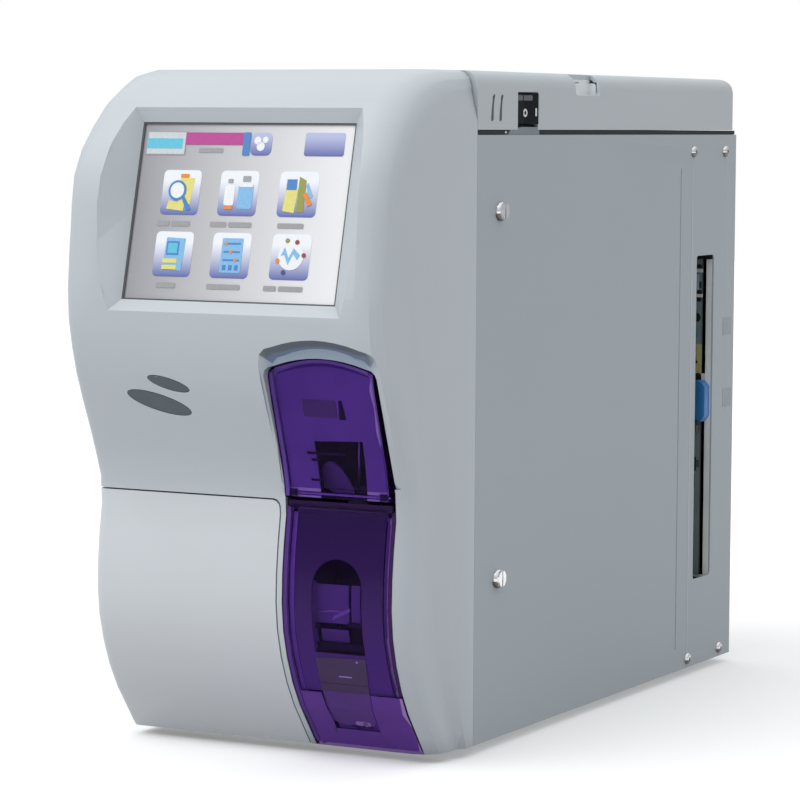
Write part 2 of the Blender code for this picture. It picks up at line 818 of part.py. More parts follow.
def front_solid(name, inset=0.0, overrun=OVERRUN):
    """The front as a closed solid, its skin moved inward by the inset."""
    made = front_sheet(name, inset, overrun)
    sketch = bmesh.new()
    sketch.from_mesh(made.data)
    rim = [edge for edge in sketch.edges if edge.is_boundary]
    corners = sorted(
        (point for point in sketch.verts if point.is_boundary),
        key=lambda point: point.co.z - point.co.y)[:2]
    rim.append(sketch.edges.new(corners))
    bmesh.ops.edgenet_fill(sketch, edges=rim)
    bmesh.ops.triangulate(sketch, faces=[face for face in sketch.faces if len(face.verts) > 4])
    bmesh.ops.recalc_face_normals(sketch, faces=sketch.faces)
    sketch.to_mesh(made.data)
    sketch.free()
    return made


def rounded(x0, x1, z0, z1, radii, steps=3):
    """Outline of a rectangle whose corners, from lower left anticlockwise, have these radii."""
    corners = [(x0, z0, 1, 1, 180), (x1, z0, -1, 1, 270), (x1, z1, -1, -1, 0), (x0, z1, 1, -1, 90)]
    outline = []
    for (x, z, towards_x, towards_z, start), radius in zip(corners, radii):
        if radius <= 0:
            outline.append((x, z))
            continue
        for index in range(steps + 1):
            angle = math.radians(start + 90 * index / steps)
            outline.append((
                x + towards_x * radius + radius * math.cos(angle),
                z + towards_z * radius + radius * math.sin(angle)))
    return outline


def arched(x0, x1, foot, shoulder, crown, corner, foot_corner=0.0, steps=ARCH_STEPS):
    """Outline with a shallow arched top between rounded shoulders."""
    outline = rounded(x0, x1, foot, shoulder, (foot_corner, foot_corner, 0, 0))[:-2]
    middle = (x0 + x1) / 2
    half = (x1 - x0) / 2 - corner
    sag = crown - shoulder
    for index in range(3):
        angle = math.radians(90 * index / 3)
        outline.append((
            x1 - corner * (1 - math.cos(angle)), shoulder - corner * (1 - math.sin(angle))))
    for index in range(steps + 1):
        share = 1 - 2 * index / steps
        outline.append((middle + half * share, shoulder + sag * (1 - share * share)))
    for index in range(1, 4):
        angle = math.radians(90 + 90 * index / 3)
        outline.append((
            x0 + corner * (1 + math.cos(angle)), shoulder - corner * (1 - math.sin(angle))))
    return outline


def loft(name, loops):
    """A closed solid through loops that have the same number of points."""
    sketch = bmesh.new()
    rings = [[sketch.verts.new(place) for place in loop] for loop in loops]
    for first, second in zip(rings, rings[1:]):
        for index in range(len(first)):
            following = (index + 1) % len(first)
            sketch.faces.new((
                first[index], first[following], second[following], second[index]))
    sketch.faces.new(rings[0][::-1])
    sketch.faces.new(rings[-1])
    bmesh.ops.recalc_face_normals(sketch, faces=sketch.faces)
    return shape(name, sketch)


# Display recess

SCREEN_ORIGIN = Vector((0, surface_y(SCREEN_FOOT) + SCREEN_INSET, SCREEN_FOOT))
SCREEN_UP = Vector((0, math.sin(SCREEN_TILT), math.cos(SCREEN_TILT)))
SCREEN_OUT = Vector((0, -math.cos(SCREEN_TILT), math.sin(SCREEN_TILT)))


def on_screen(x, up, out):
    """A point given across, up and out of the tilted display plane."""
    return Vector((x, 0, 0)) + SCREEN_ORIGIN + SCREEN_UP * up + SCREEN_OUT * out


def screen_slab(name, margin, back, thickness):
    """A rectangular slab parallel to the display, its front face set back by the given depth."""
    half = SCREEN_WIDTH / 2 + margin
    made = block(
        name, (-half, -thickness / 2, -SCREEN_HEIGHT / 2 - margin),
        (half, thickness / 2, SCREEN_HEIGHT / 2 + margin))
    made.rotation_euler = (-SCREEN_TILT, 0, 0)
    made.location = on_screen(0, SCREEN_HEIGHT / 2, -back - thickness / 2)
    return made


def funnel_outline(spread, wall=0.0):
    """Outline across and up the display plane: spread 0 is the window, 1 the edge on the surface."""
    half = SCREEN_WIDTH / 2 + wall
    right = []
    for index in range(FUNNEL_STEPS + 1):
        share = index / FUNNEL_STEPS
        bulge = FUNNEL_SIDE + FUNNEL_BULGE * 4 * share * (1 - share)
        up = SCREEN_HEIGHT * share - spread * (FUNNEL_BOTTOM * (1 - share) - FUNNEL_TOP * share)
        up += wall * (2 * share - 1)
        right.append((half + spread * bulge, up))
    return right + [(-x, up) for x, up in reversed(right)]


def funnel_solid(name, wall=0.0, behind=0.0):
    """The display's recess, from the display plane out past the front, grown by a wall."""
    loops = []
    if behind > 0:
        loops.append([on_screen(x, up, -behind) for x, up in funnel_outline(0, wall)])
    loops.append([on_screen(x, up, 0) for x, up in funnel_outline(0, wall)])
    for spread in (1, 2):
        ring = []
        for x, up in funnel_outline(spread, wall):
            height = on_screen(x, up, 0).z
            surface = surface_y(min(height, BODY_HEIGHT - CROWN_CORNER))
            ring.append(Vector((x, surface if spread == 1 else SHALLOW, height)))
        loops.append(ring)
    return loft(name, loops)


# Station outlines

def station_outline(gap=0.0):
    """Opening of the sampling station in the moulding, grown by a gap."""
    return arched(
        STATION_LEFT - gap, STATION_RIGHT + gap, FOOT_HEIGHT - OVERRUN,
        COVER_SHOULDER + gap, COVER_CROWN + gap, COVER_CORNER)


def cover_outline(inset=0.0):
    """Outline of the probe cover, made smaller by the inset."""
    return arched(
        STATION_LEFT + inset, COVER_RIGHT - inset, COVER_FOOT + inset,
        COVER_SHOULDER - inset, COVER_CROWN - inset, COVER_CORNER)


def tube_door_outline(inset=0.0, foot=None):
    """Outline of the tube door, made smaller by the inset."""
    low = FOOT_HEIGHT if foot is None else foot
    corner = TUBE_DOOR_CORNER
    return rounded(
        STATION_LEFT + inset, STATION_RIGHT - inset, low,
        TUBE_DOOR_TOP - inset, (0, 0, corner, corner))


DEEP = SEAM_Y
SHALLOW = FRONT_Y - MOULDING_LENGTH


def front_y(x, z):
    """Depth of the front at a point, with the right corner's rounding."""
    past = min(max(x - (HALF_WIDTH - SIDE_STEP - RIGHT_CORNER), 0), RIGHT_CORNER - OVERRUN)
    return surface_y(z) + RIGHT_CORNER - math.sqrt(RIGHT_CORNER**2 - past**2)


def recess_outline(inset):
    """Outline of the finger recess round the probe cover, made smaller by the inset."""
    return arched(
        RECESS_LEFT + inset, RECESS_RIGHT - inset, RECESS_FOOT + inset,
        RECESS_SHOULDER - inset, RECESS_CROWN - inset, RECESS_CORNER)


def recess_backing(name):
    """Layer of moulding that backs the finger recess."""
    made = prism(name, recess_outline(-MOULDING_WALL), SHALLOW, DEEP)
    rear = front_solid(name + "_rear", MOULDING_WALL)
    rear.location.y = RECESS_DEPTH
    return cut(made, rear)


def recess_solid(name):
    """The finger recess: deepest at its arch and fading towards its foot."""
    def ring(inset, depth):
        span = RECESS_CROWN - RECESS_FOOT
        return [
            Vector((x, front_y(x, z) + depth * max((z - RECESS_FOOT) / span, RECESS_FADE_SHARE), z))
            for x, z in recess_outline(inset)
        ]
    outer = [Vector((place.x, SHALLOW, place.z)) for place in ring(-RECESS_WALL_RUN, 0)]
    return loft(name, [outer, ring(0, 0), ring(RECESS_WALL_RUN, RECESS_DEPTH)])


# Front moulding

def lamp_outline(x, z, length, width, gap=0.0):
    """A tilted ellipse for one status lamp."""
    outline = []
    for index in range(LAMP_SIDES):
        angle = 2 * math.pi * index / LAMP_SIDES
        along = (length / 2 + gap) * math.cos(angle)
        across = (width / 2 + gap) * math.sin(angle)
        outline.append((
            x + along * math.cos(LAMP_TILT) - across * math.sin(LAMP_TILT),
            z + along * math.sin(LAMP_TILT) + across * math.cos(LAMP_TILT)))
    return outline


LAMPS = (
    (LAMP_LARGE_X, LAMP_LARGE_Z, LAMP_LARGE_LENGTH, LAMP_LARGE_WIDTH),
    (LAMP_SMALL_X, LAMP_SMALL_Z, LAMP_SMALL_LENGTH, LAMP_SMALL_WIDTH),
)


def shell(name, wall=MOULDING_WALL):
    """The front's skin as an open sheet with a wall thickness."""
    made = front_sheet(name)
    skin = made.modifiers.new("wall", "SOLIDIFY")
    skin.thickness = wall
    skin.offset = -1
    skin.use_even_offset = True
    return made


DOOR_HINGE_X = -HALF_WIDTH + KNUCKLE_RADIUS
DOOR_HINGE_Y = surface_y(DOOR_TOP) + DOOR_RETURN


def door_region(name, gap, y_gap, z_low):
    """Space of the service door: its outline from the front back to its left return."""
    outline = rounded(
        -HALF_WIDTH - OVERRUN, DOOR_RIGHT + gap, z_low, DOOR_TOP + gap, (0, 0, DOOR_CORNER, 0))
    front = prism(name, outline, SHALLOW, DEEP)
    low, high = FOOT_HEIGHT - LID_EDGE, DOOR_TOP + LID_EDGE
    low_y = surface_y(FOOT_HEIGHT) + LEFT_CORNER + y_gap
    side = [(DOOR_HINGE_Y + y_gap, high), (DOOR_HINGE_Y + y_gap, DOOR_HEEL_HEIGHT),
            (low_y, low), (DEEP + OVERRUN, low), (DEEP + OVERRUN, high)]
    return cut(front, prism(name + "_rear", side, -HALF_WIDTH - 2 * OVERRUN,
                            -HALF_WIDTH + LID_EDGE + y_gap, "X"))


def make_front():
    """Front moulding with its recesses and openings, and the service door cut from it."""
    bezel = front_solid("front_bezel", 0, 0)
    hollow = front_solid("bezel_hollow", MOULDING_WALL)
    cut(hollow, funnel_solid("funnel_backing", MOULDING_WALL))
    cut(hollow, recess_backing("recess_backing"))
    cut(bezel, hollow)
    cut(bezel, funnel_solid("funnel", 0, OVERRUN))
    cut(bezel, recess_solid("finger_recess"))
    cut(bezel, prism("station_cut", station_outline(SHUT_LINE / 2), SHALLOW, DEEP))
    cut(bezel, door_region("door_cut", SHUT_LINE, KNUCKLE_RADIUS + FIT_GAP,
                           FOOT_HEIGHT - OVERRUN))
    for number, lamp in enumerate(LAMPS):
        hole = lamp_outline(*lamp, gap=FIT_GAP)
        cut(bezel, prism(f"lamp_hole_{number}", hole, SHALLOW, DEEP))
    cut(bezel, rod("door_pin_seat", (DOOR_HINGE_X, DOOR_HINGE_Y, DOOR_TOP - OVERRUN),
                   (DOOR_HINGE_X, DOOR_HINGE_Y, DOOR_TOP + HINGE_SEAT + FIT_GAP),
                   DOOR_PIN_RADIUS + BORE_CLEARANCE, sides=12))
    part(bezel, "front_bezel", "moulding", 30)

    door = shell("service_door")
    common(door, door_region("door_space", 0, 0, FOOT_HEIGHT))
    hinge_low = DOOR_HEEL_HEIGHT + FIT_GAP
    hinge_high = DOOR_TOP - HINGE_SEAT
    place = (DOOR_HINGE_X, DOOR_HINGE_Y)
    knuckle = rod("knuckle", (*place, hinge_low), (*place, hinge_high), KNUCKLE_RADIUS)
    unite(door, knuckle)
    bore = rod("knuckle_bore", (*place, hinge_low - OVERRUN), (*place, DOOR_TOP + OVERRUN),
               DOOR_PIN_RADIUS + BORE_CLEARANCE, sides=12)
    cut(door, bore)
    part(door, "service_door", "moulding", 30)
    pivot("service_door_axis", (*place, (hinge_low + hinge_high) / 2), door)


def make_lenses():
    """Two smoked oval lenses in the front, and the small lamp board behind them."""
    for label, lamp in zip(("large", "small"), LAMPS):
        lens = prism(f"status_lens_{label}", lamp_outline(*lamp), SHALLOW, DEEP)
        common(lens, shell(f"lens_skin_{label}"))
        part(lens, f"status_lens_{label}", "smoked_lens")
    low = LAMP_LARGE_Z - LAMP_LARGE_WIDTH
    high = LAMP_SMALL_Z + LAMP_SMALL_WIDTH
    half = LAMP_LARGE_LENGTH / 2 + LAMP_LARGE_WIDTH / 2
    face = surface_y(low) + MOULDING_WALL + FIT_GAP
    board = block(
        "lamp_board", (LAMP_LARGE_X - half, face, low),
        (LAMP_LARGE_X + half, face + BOARD_THICKNESS, high))
    common(board, front_solid("lamp_board_clearance", MOULDING_WALL + FIT_GAP))
    part(board, "lamp_board", "board_green")


def make_display():
    """Gasket, touch panel, display unit and its controller board, all parallel."""
    back = FIT_GAP
    ring = screen_slab("screen_gasket", GASKET_WIDTH, back, GASKET_THICKNESS)
    hole = screen_slab("gasket_hole", -GASKET_WIDTH / 2, back - OVERRUN,
                       GASKET_THICKNESS + 2 * OVERRUN)
    part(cut(ring, hole), "screen_gasket", "rubber")
    back += GASKET_THICKNESS + FIT_GAP
    glass = screen_slab("touch_panel", PANEL_MARGIN - FIT_GAP, back, TOUCH_THICKNESS)
    part(glass, "touch_panel", "screen")
    back += TOUCH_THICKNESS + FIT_GAP
    unit = screen_slab("lcd_module", PANEL_MARGIN, back, LCD_THICKNESS)
    part(unit, "lcd_module", "zinc_steel")
    back += LCD_THICKNESS
    posts = []
    half = SCREEN_WIDTH / 2 - 2 * LCD_BOARD_STANDOFF
    for across in (-half, half):
        for up in (2 * LCD_BOARD_STANDOFF, SCREEN_HEIGHT - 2 * LCD_BOARD_STANDOFF):
            start = on_screen(across, up, -back - FIT_GAP)
            end = on_screen(across, up, -back - LCD_BOARD_STANDOFF)
            posts.append(rod(f"post_{len(posts)}", start, end, LCD_BOARD_STANDOFF / 2, sides=8))
    board = screen_slab(
        "lcd_board", -LCD_BOARD_STANDOFF, back + LCD_BOARD_STANDOFF - FIT_GAP, BOARD_THICKNESS)
    part(unite(board, *posts), "lcd_board", "board_green")


# Sampling station

TUBE_HINGE_Y = FRONT_Y + TUBE_HINGE_SETBACK
COVER_HINGE_Z = COVER_FOOT + COVER_BARREL
COVER_HINGE_Y = surface_y(COVER_HINGE_Z) + COVER_BARREL - COVER_PROUD


def make_tube_door():
    """Clear purple door with its skirt, hinge barrel, liner with the tube window, and adapter."""
    door = prism("sample_door", tube_door_outline(), SHALLOW, DEEP)
    common(door, front_solid("door_skin"))
    cut(door, front_solid("door_back", TUBE_DOOR_SKIRT))
    hollow = prism("door_hollow", tube_door_outline(TUBE_DOOR_WALL, FOOT_HEIGHT - OVERRUN),
                   SHALLOW, DEEP)
    common(hollow, front_solid("door_hollow_skin", TUBE_DOOR_WALL))
    cut(door, hollow)
    ends = (STATION_LEFT, STATION_RIGHT)
    barrels = []
    for number, (x, towards) in enumerate(zip(ends, (1, -1))):
        near = x + towards * FIT_GAP
        far = x + towards * 2 * TUBE_HINGE_RADIUS
        barrels.append(rod(
            f"door_barrel_{number}", (near, TUBE_HINGE_Y, TUBE_HINGE_HEIGHT),
            (far, TUBE_HINGE_Y, TUBE_HINGE_HEIGHT), TUBE_HINGE_RADIUS))
    unite(door, *barrels)
    cut(door, rod(
        "door_hinge_bore", (STATION_LEFT - OVERRUN, TUBE_HINGE_Y, TUBE_HINGE_HEIGHT),
        (STATION_RIGHT + OVERRUN, TUBE_HINGE_Y, TUBE_HINGE_HEIGHT),
        TUBE_PIN_RADIUS + BORE_CLEARANCE, sides=10))
    part(door, "sample_door", "clear_purple", 30)

    left = STATION_LEFT + LINER_MARGIN
    right = STATION_RIGHT - LINER_MARGIN
    foot = TUBE_HINGE_HEIGHT + TUBE_HINGE_RADIUS
    top = TUBE_DOOR_TOP - LINER_TOP_DROP
    liner = prism("sample_door_liner", rounded(left, right, foot, top, (0, 0, 0, 0)),
                  SHALLOW, DEEP)
    common(liner, front_solid("liner_skin", LINER_DEPTH))
    cut(liner, front_solid("liner_back", LINER_DEPTH + LINER_WALL))
    for number, (x, towards) in enumerate(((left, 1), (right, -1))):
        inner = sorted((x - towards * OVERRUN, x + towards * LINER_STEP_WIDTH))
        cut(liner, block(f"liner_step_{number}", (inner[0], SHALLOW, FOOT_HEIGHT),
                         (inner[1], DEEP, LINER_STEP_HEIGHT)))
    window = [(NEEDLE_X + WINDOW_RADIUS, WINDOW_FOOT)]
    for index in range(13):
        angle = math.pi * index / 12
        window.append((
            NEEDLE_X + WINDOW_RADIUS * math.cos(angle),
            WINDOW_SPRING + WINDOW_RADIUS * math.sin(angle)))
    window.append((NEEDLE_X - WINDOW_RADIUS, WINDOW_FOOT))
    cut(liner, prism("liner_window", window[::-1], SHALLOW, DEEP))
    cradle_low = ADAPTER_FOOT - CRADLE_HEIGHT - FIT_GAP
    cradle = block(
        "cradle", (NEEDLE_X - CRADLE_WIDTH / 2, SHALLOW, cradle_low),
        (NEEDLE_X + CRADLE_WIDTH / 2, NEEDLE_Y + ADAPTER_RADIUS, ADAPTER_FOOT - FIT_GAP))
    common(cradle, front_solid("cradle_front", LINER_DEPTH + LINER_WALL / 2))
    unite(liner, cradle)
    cut(liner, rod("adapter_room", (NEEDLE_X, NEEDLE_Y, ADAPTER_FOOT - FIT_GAP),
                   (NEEDLE_X, NEEDLE_Y, WINDOW_SPRING), ADAPTER_RADIUS + FIT_GAP, sides=20))
    part(liner, "sample_door_liner", "clear_purple", 30)

    adapter = turned("tube_adapter", [
        (0, ADAPTER_FOOT + ADAPTER_FLOOR), (ADAPTER_BORE, ADAPTER_FOOT + ADAPTER_FLOOR),
        (ADAPTER_BORE, ADAPTER_TOP - ADAPTER_FLOOR), (ADAPTER_BORE + OVERRUN / 2, ADAPTER_TOP),
        (ADAPTER_RADIUS, ADAPTER_TOP), (ADAPTER_RADIUS, ADAPTER_FOOT), (0, ADAPTER_FOOT)])
    adapter.location = (NEEDLE_X, NEEDLE_Y, 0)
    sight = block(
        "adapter_slot", (NEEDLE_X - ADAPTER_BORE / 2, NEEDLE_Y - 2 * ADAPTER_RADIUS,
                         ADAPTER_FOOT + 3 * ADAPTER_FLOOR),
        (NEEDLE_X + ADAPTER_BORE / 2, NEEDLE_Y, ADAPTER_TOP - 2 * ADAPTER_FLOOR))
    cut(adapter, sight)
    part(adapter, "tube_adapter", "black_plastic")
    pivot("sample_door_axis", (NEEDLE_X, TUBE_HINGE_Y, TUBE_HINGE_HEIGHT), door, liner, adapter)

    return rod(
        "sample_door_pin", (STATION_LEFT - BAY_CLEARANCE, TUBE_HINGE_Y, TUBE_HINGE_HEIGHT),
        (STATION_RIGHT + BAY_CLEARANCE, TUBE_HINGE_Y, TUBE_HINGE_HEIGHT), TUBE_PIN_RADIUS,
        sides=12)


def cover_layer(name, inset):
    """The front moved inward by an inset and leant back about the probe cover's hinge."""
    made = front_solid(name, inset)
    place = Vector((0, COVER_HINGE_Y, COVER_HINGE_Z))
    made.rotation_euler = (-COVER_LEAN, 0, 0)
    made.location = place - Matrix.Rotation(-COVER_LEAN, 3, "X") @ place
    return made


def make_probe_cover():
    """Purple cover that leans back into its recess, with a skirt and a hinge barrel at its foot."""
    cover = prism("probe_cover", cover_outline(), SHALLOW, DEEP)
    common(cover, cover_layer("cover_skin", -COVER_PROUD))
    cut(cover, cover_layer("cover_back", COVER_SKIRT))
    hollow = prism("cover_hollow", cover_outline(COVER_WALL), SHALLOW, DEEP)
    common(hollow, cover_layer("cover_hollow_skin", COVER_WALL - COVER_PROUD))
    cut(cover, hollow)
    place = (COVER_HINGE_Y, COVER_HINGE_Z)
    low = STATION_LEFT
    high = COVER_RIGHT
    heel = block(
        "cover_heel", (low - OVERRUN, COVER_HINGE_Y - 2 * COVER_BARREL, COVER_FOOT - COVER_BARREL),
        (high + OVERRUN, COVER_HINGE_Y + 3 * COVER_BARREL, COVER_HINGE_Z))
    cut(cover, heel)
    barrel = rod("cover_barrel", (low, *place), (high, *place), COVER_BARREL)
    unite(cover, barrel)
    room = COVER_LUG_RADIUS + FIT_GAP
    for number, (x0, x1) in enumerate(cover_lug_spans()):
        cut(cover, block(
            f"lug_pocket_{number}",
            (x0 - FIT_GAP, COVER_HINGE_Y - room, COVER_HINGE_Z - 2 * COVER_BARREL),
            (x1 + FIT_GAP, COVER_HINGE_Y + 2 * COVER_BARREL, COVER_HINGE_Z + room)))
    cut(cover, rod("cover_bore", (low - OVERRUN, *place), (high + OVERRUN, *place),
                   COVER_PIN_RADIUS + BORE_CLEARANCE, sides=12))
    part(cover, "probe_cover", "clear_purple", 30)
    pivot("probe_cover_axis", (NEEDLE_X, *place), cover)
    return rod("cover_pin", (STATION_LEFT + FIT_GAP, *place), (COVER_RIGHT - FIT_GAP, *place),
               COVER_PIN_RADIUS, sides=12)


def cover_lug_spans():
    """Across spans of the two lugs that hold the probe cover's pin."""
    left = STATION_LEFT + COVER_LUG_INSET
    right = COVER_RIGHT - COVER_LUG_INSET
    return [(left, left + COVER_LUG_WIDTH), (right - COVER_LUG_WIDTH, right)]


def make_bay():
    """Dark housing behind the station, with the slot that the needle arm moves in, and the pins."""
    left = STATION_LEFT - BAY_CLEARANCE
    right = STATION_RIGHT + BAY_CLEARANCE
    top = COVER_CROWN + BAY_CLEARANCE
    outer = block(
        "sample_bay_housing", (left - BAY_WALL, SHALLOW, PAN_FLOOR + FIT_GAP),
        (right + BAY_WALL, BAY_REAR, top + BAY_WALL))
    limit = front_solid("bay_limit", MOULDING_WALL + FIT_GAP)
    limit.location.y = RECESS_DEPTH
    common(outer, limit)
    cut(outer, block("bay_hollow", (left, SHALLOW, FOOT_HEIGHT - OVERRUN),
                     (right, BAY_REAR - BAY_WALL, top)))
    cut(outer, block("needle_slot", (NEEDLE_X - NEEDLE_SLOT / 2, SHALLOW, NEEDLE_SLOT_FOOT),
                     (NEEDLE_X + NEEDLE_SLOT / 2, DEEP, NEEDLE_SLOT_TOP)))
    return outer


# Body panels

def make_panels():
    """Painted side panels with their slot and groove, the rear panel and the lid."""
    for side, name in ((1, "side_panel_right"), (-1, "side_panel_left")):
        xs = sorted((side * PANEL_INNER, side * HALF_WIDTH))
        panel = block(name, (xs[0], SEAM_Y + FIT_GAP, FOOT_HEIGHT), (xs[1], REAR_Y, PANEL_TOP))
        for number, (y, z) in enumerate(thumb_places()):
            cut(panel, rod(f"{name}_hole_{number}", (side * (PANEL_INNER - OVERRUN), y, z),
                           (side * (HALF_WIDTH + OVERRUN), y, z),
                           THUMB_SHANK_RADIUS + FIT_GAP, sides=12))
        for number, (y, z) in enumerate(small_places()):
            unite(panel, small_screw(f"{name}_screw_{number}", (side * HALF_WIDTH, y, z),
                                     (side, 0, 0)))
        if side > 0:
            slot = rounded(SLOT_FRONT, SLOT_REAR, SLOT_FOOT, SLOT_TOP, (SLOT_CORNER,) * 4)
            cut(panel, prism("connector_slot", slot, PANEL_INNER - OVERRUN,
                             HALF_WIDTH + OVERRUN, "X"))
            groove_y = REAR_Y - GROOVE_FROM_REAR
            cut(panel, block("groove", (HALF_WIDTH - GROOVE_DEPTH, groove_y, GROOVE_FOOT),
                             (HALF_WIDTH + OVERRUN, groove_y + GROOVE_WIDTH, GROOVE_TOP)))
        part(panel, name, "panel_paint")
    rear = block("rear_panel", (-CHASSIS_HALF, REAR_INNER, FOOT_HEIGHT + FIT_GAP),
                 (CHASSIS_HALF, REAR_Y, PANEL_TOP - FIT_GAP))
    cut(rear, rod("fan_hole", (FAN_X, REAR_INNER - OVERRUN, FAN_HEIGHT),
                  (FAN_X, REAR_Y + OVERRUN, FAN_HEIGHT), FAN_BORE, sides=32))
    cut(rear, block("inlet_hole",
                    (INLET_X - INLET_WIDTH / 2 - INLET_WALL - FIT_GAP, REAR_INNER - OVERRUN,
                     INLET_Z - INLET_HEIGHT / 2 - INLET_WALL - FIT_GAP),
                    (INLET_X + INLET_WIDTH / 2 + INLET_WALL + FIT_GAP, REAR_Y + OVERRUN,
                     INLET_Z + INLET_HEIGHT / 2 + INLET_WALL + FIT_GAP)))
    for number, (x, z) in enumerate(port_places()):
        cut(rear, rod(f"port_hole_{number}", (x, REAR_INNER - OVERRUN, z),
                      (x, REAR_Y + OVERRUN, z), PORT_RADIUS + FIT_GAP))
    for number, (x, z) in enumerate(rear_screw_places()):
        unite(rear, small_screw(f"rear_screw_{number}", (x, REAR_Y, z), (0, 1, 0)))
    part(rear, "rear_panel", "panel_paint")


def lid_body(name, inset, foot):
    """The lid's outer form: a box with rounded top edges, made smaller by the inset."""
    radius = LID_EDGE - inset
    front = SEAM_Y + FIT_GAP if inset == 0 else SEAM_Y + FIT_GAP + inset
    sketch = bmesh.new()
    bmesh.ops.create_cube(sketch, size=1.0)
    low = Vector((-HALF_WIDTH + inset, front, foot))
    high = Vector((HALF_WIDTH - inset, REAR_Y - inset, BODY_HEIGHT - inset))
    bmesh.ops.scale(sketch, vec=high - low, verts=sketch.verts)
    bmesh.ops.translate(sketch, vec=(low + high) / 2, verts=sketch.verts)
    edges = []
    for edge in sketch.edges:
        ends = [point.co for point in edge.verts]
        top = all(place.z > (low.z + high.z) / 2 for place in ends)
        ahead = all(place.y < 0 for place in ends)
        upright_rear = all(place.y > 0 for place in ends) and not top and (
            abs(ends[0].z - ends[1].z) > radius)
        if (top and not ahead) or upright_rear:
            edges.append(edge)
    bmesh.ops.bevel(
        sketch, geom=edges, offset=radius, segments=4, profile=0.5, affect="EDGES",
        clamp_overlap=True, material=-1)
    return shape(name, sketch)


SWITCH_FRONT = SEAM_Y + SWITCH_FROM_SEAM
SWITCH_REAR = SWITCH_FRONT + SWITCH_LENGTH
SWITCH_TOP = BODY_HEIGHT - SWITCH_TOP_DROP


def make_lid():
    """Painted lid: a hollow cover with vents, the switch cut-out and a finger notch."""
    lid = lid_body("top_cover", 0.0, LID_FOOT)
    cut(lid, lid_body("lid_hollow", LID_WALL, LID_FOOT - OVERRUN))
    for side in (1, -1):
        for number in range(2):
            y = SEAM_Y + VENT_SETBACK + number * VENT_SPACING
            top = BODY_HEIGHT - VENT_DROP
            xs = sorted((side * (HALF_WIDTH - 2 * LID_WALL), side * (HALF_WIDTH + OVERRUN)))
            cut(lid, block(f"vent_{side}_{number}", (xs[0], y, top - VENT_HEIGHT),
                           (xs[1], y + VENT_WIDTH, top)))
    cut(lid, block("switch_cut", (HALF_WIDTH - 2 * LID_WALL, SWITCH_FRONT, LID_FOOT - OVERRUN),
                   (HALF_WIDTH + OVERRUN, SWITCH_REAR, SWITCH_TOP)))
    notch_y = SEAM_Y + NOTCH_BEHIND_SEAM
    notch = rounded(notch_y - NOTCH_LENGTH / 2, notch_y + NOTCH_LENGTH / 2,
                    BODY_HEIGHT - LID_EDGE / 2 - NOTCH_HEIGHT, BODY_HEIGHT + OVERRUN,
                    (OVERRUN, OVERRUN, 0, 0))
    cut(lid, prism("lid_notch", notch, HALF_WIDTH - NOTCH_DEPTH, HALF_WIDTH + OVERRUN, "X"))
    part(lid, "top_cover", "moulding", 35)

    inner = LID_WALL + OVERRUN
    frame = block(
        "top_frame", (-CHASSIS_HALF, BULKHEAD_FACE, FRAME_UNDER),
        (CHASSIS_HALF, REAR_INNER - FIT_GAP, FRAME_UNDER + CHASSIS_SHEET))
    cut(frame, block(
        "frame_window", (-CHASSIS_HALF + TOP_FRAME_RIM, BULKHEAD_FACE + TOP_FRAME_RIM, PANEL_TOP),
        (CHASSIS_HALF - TOP_FRAME_RIM, REAR_INNER - TOP_FRAME_RIM, LID_FOOT + inner)))
    for side in (1, -1):
        xs = sorted((side * CHASSIS_HALF, side * (CHASSIS_HALF - CHASSIS_SHEET)))
        flange = block(
            f"frame_flange_{side}", (xs[0], BULKHEAD_Y + FIT_GAP, PANEL_TOP - TOP_FRAME_FLANGE),
            (xs[1], REAR_INNER - FIT_GAP, FRAME_UNDER + CHASSIS_SHEET / 2))
        unite(frame, flange)
        for number, (y, z) in enumerate(small_places()[:2]):
            cut(frame, rod(f"frame_hole_{side}_{number}", (side * (CHASSIS_HALF - inner), y, z),
                           (side * (CHASSIS_HALF + inner), y, z), SMALL_SHANK_RADIUS + FIT_GAP,
                           sides=12))
    part(frame, "top_frame", "zinc_steel")


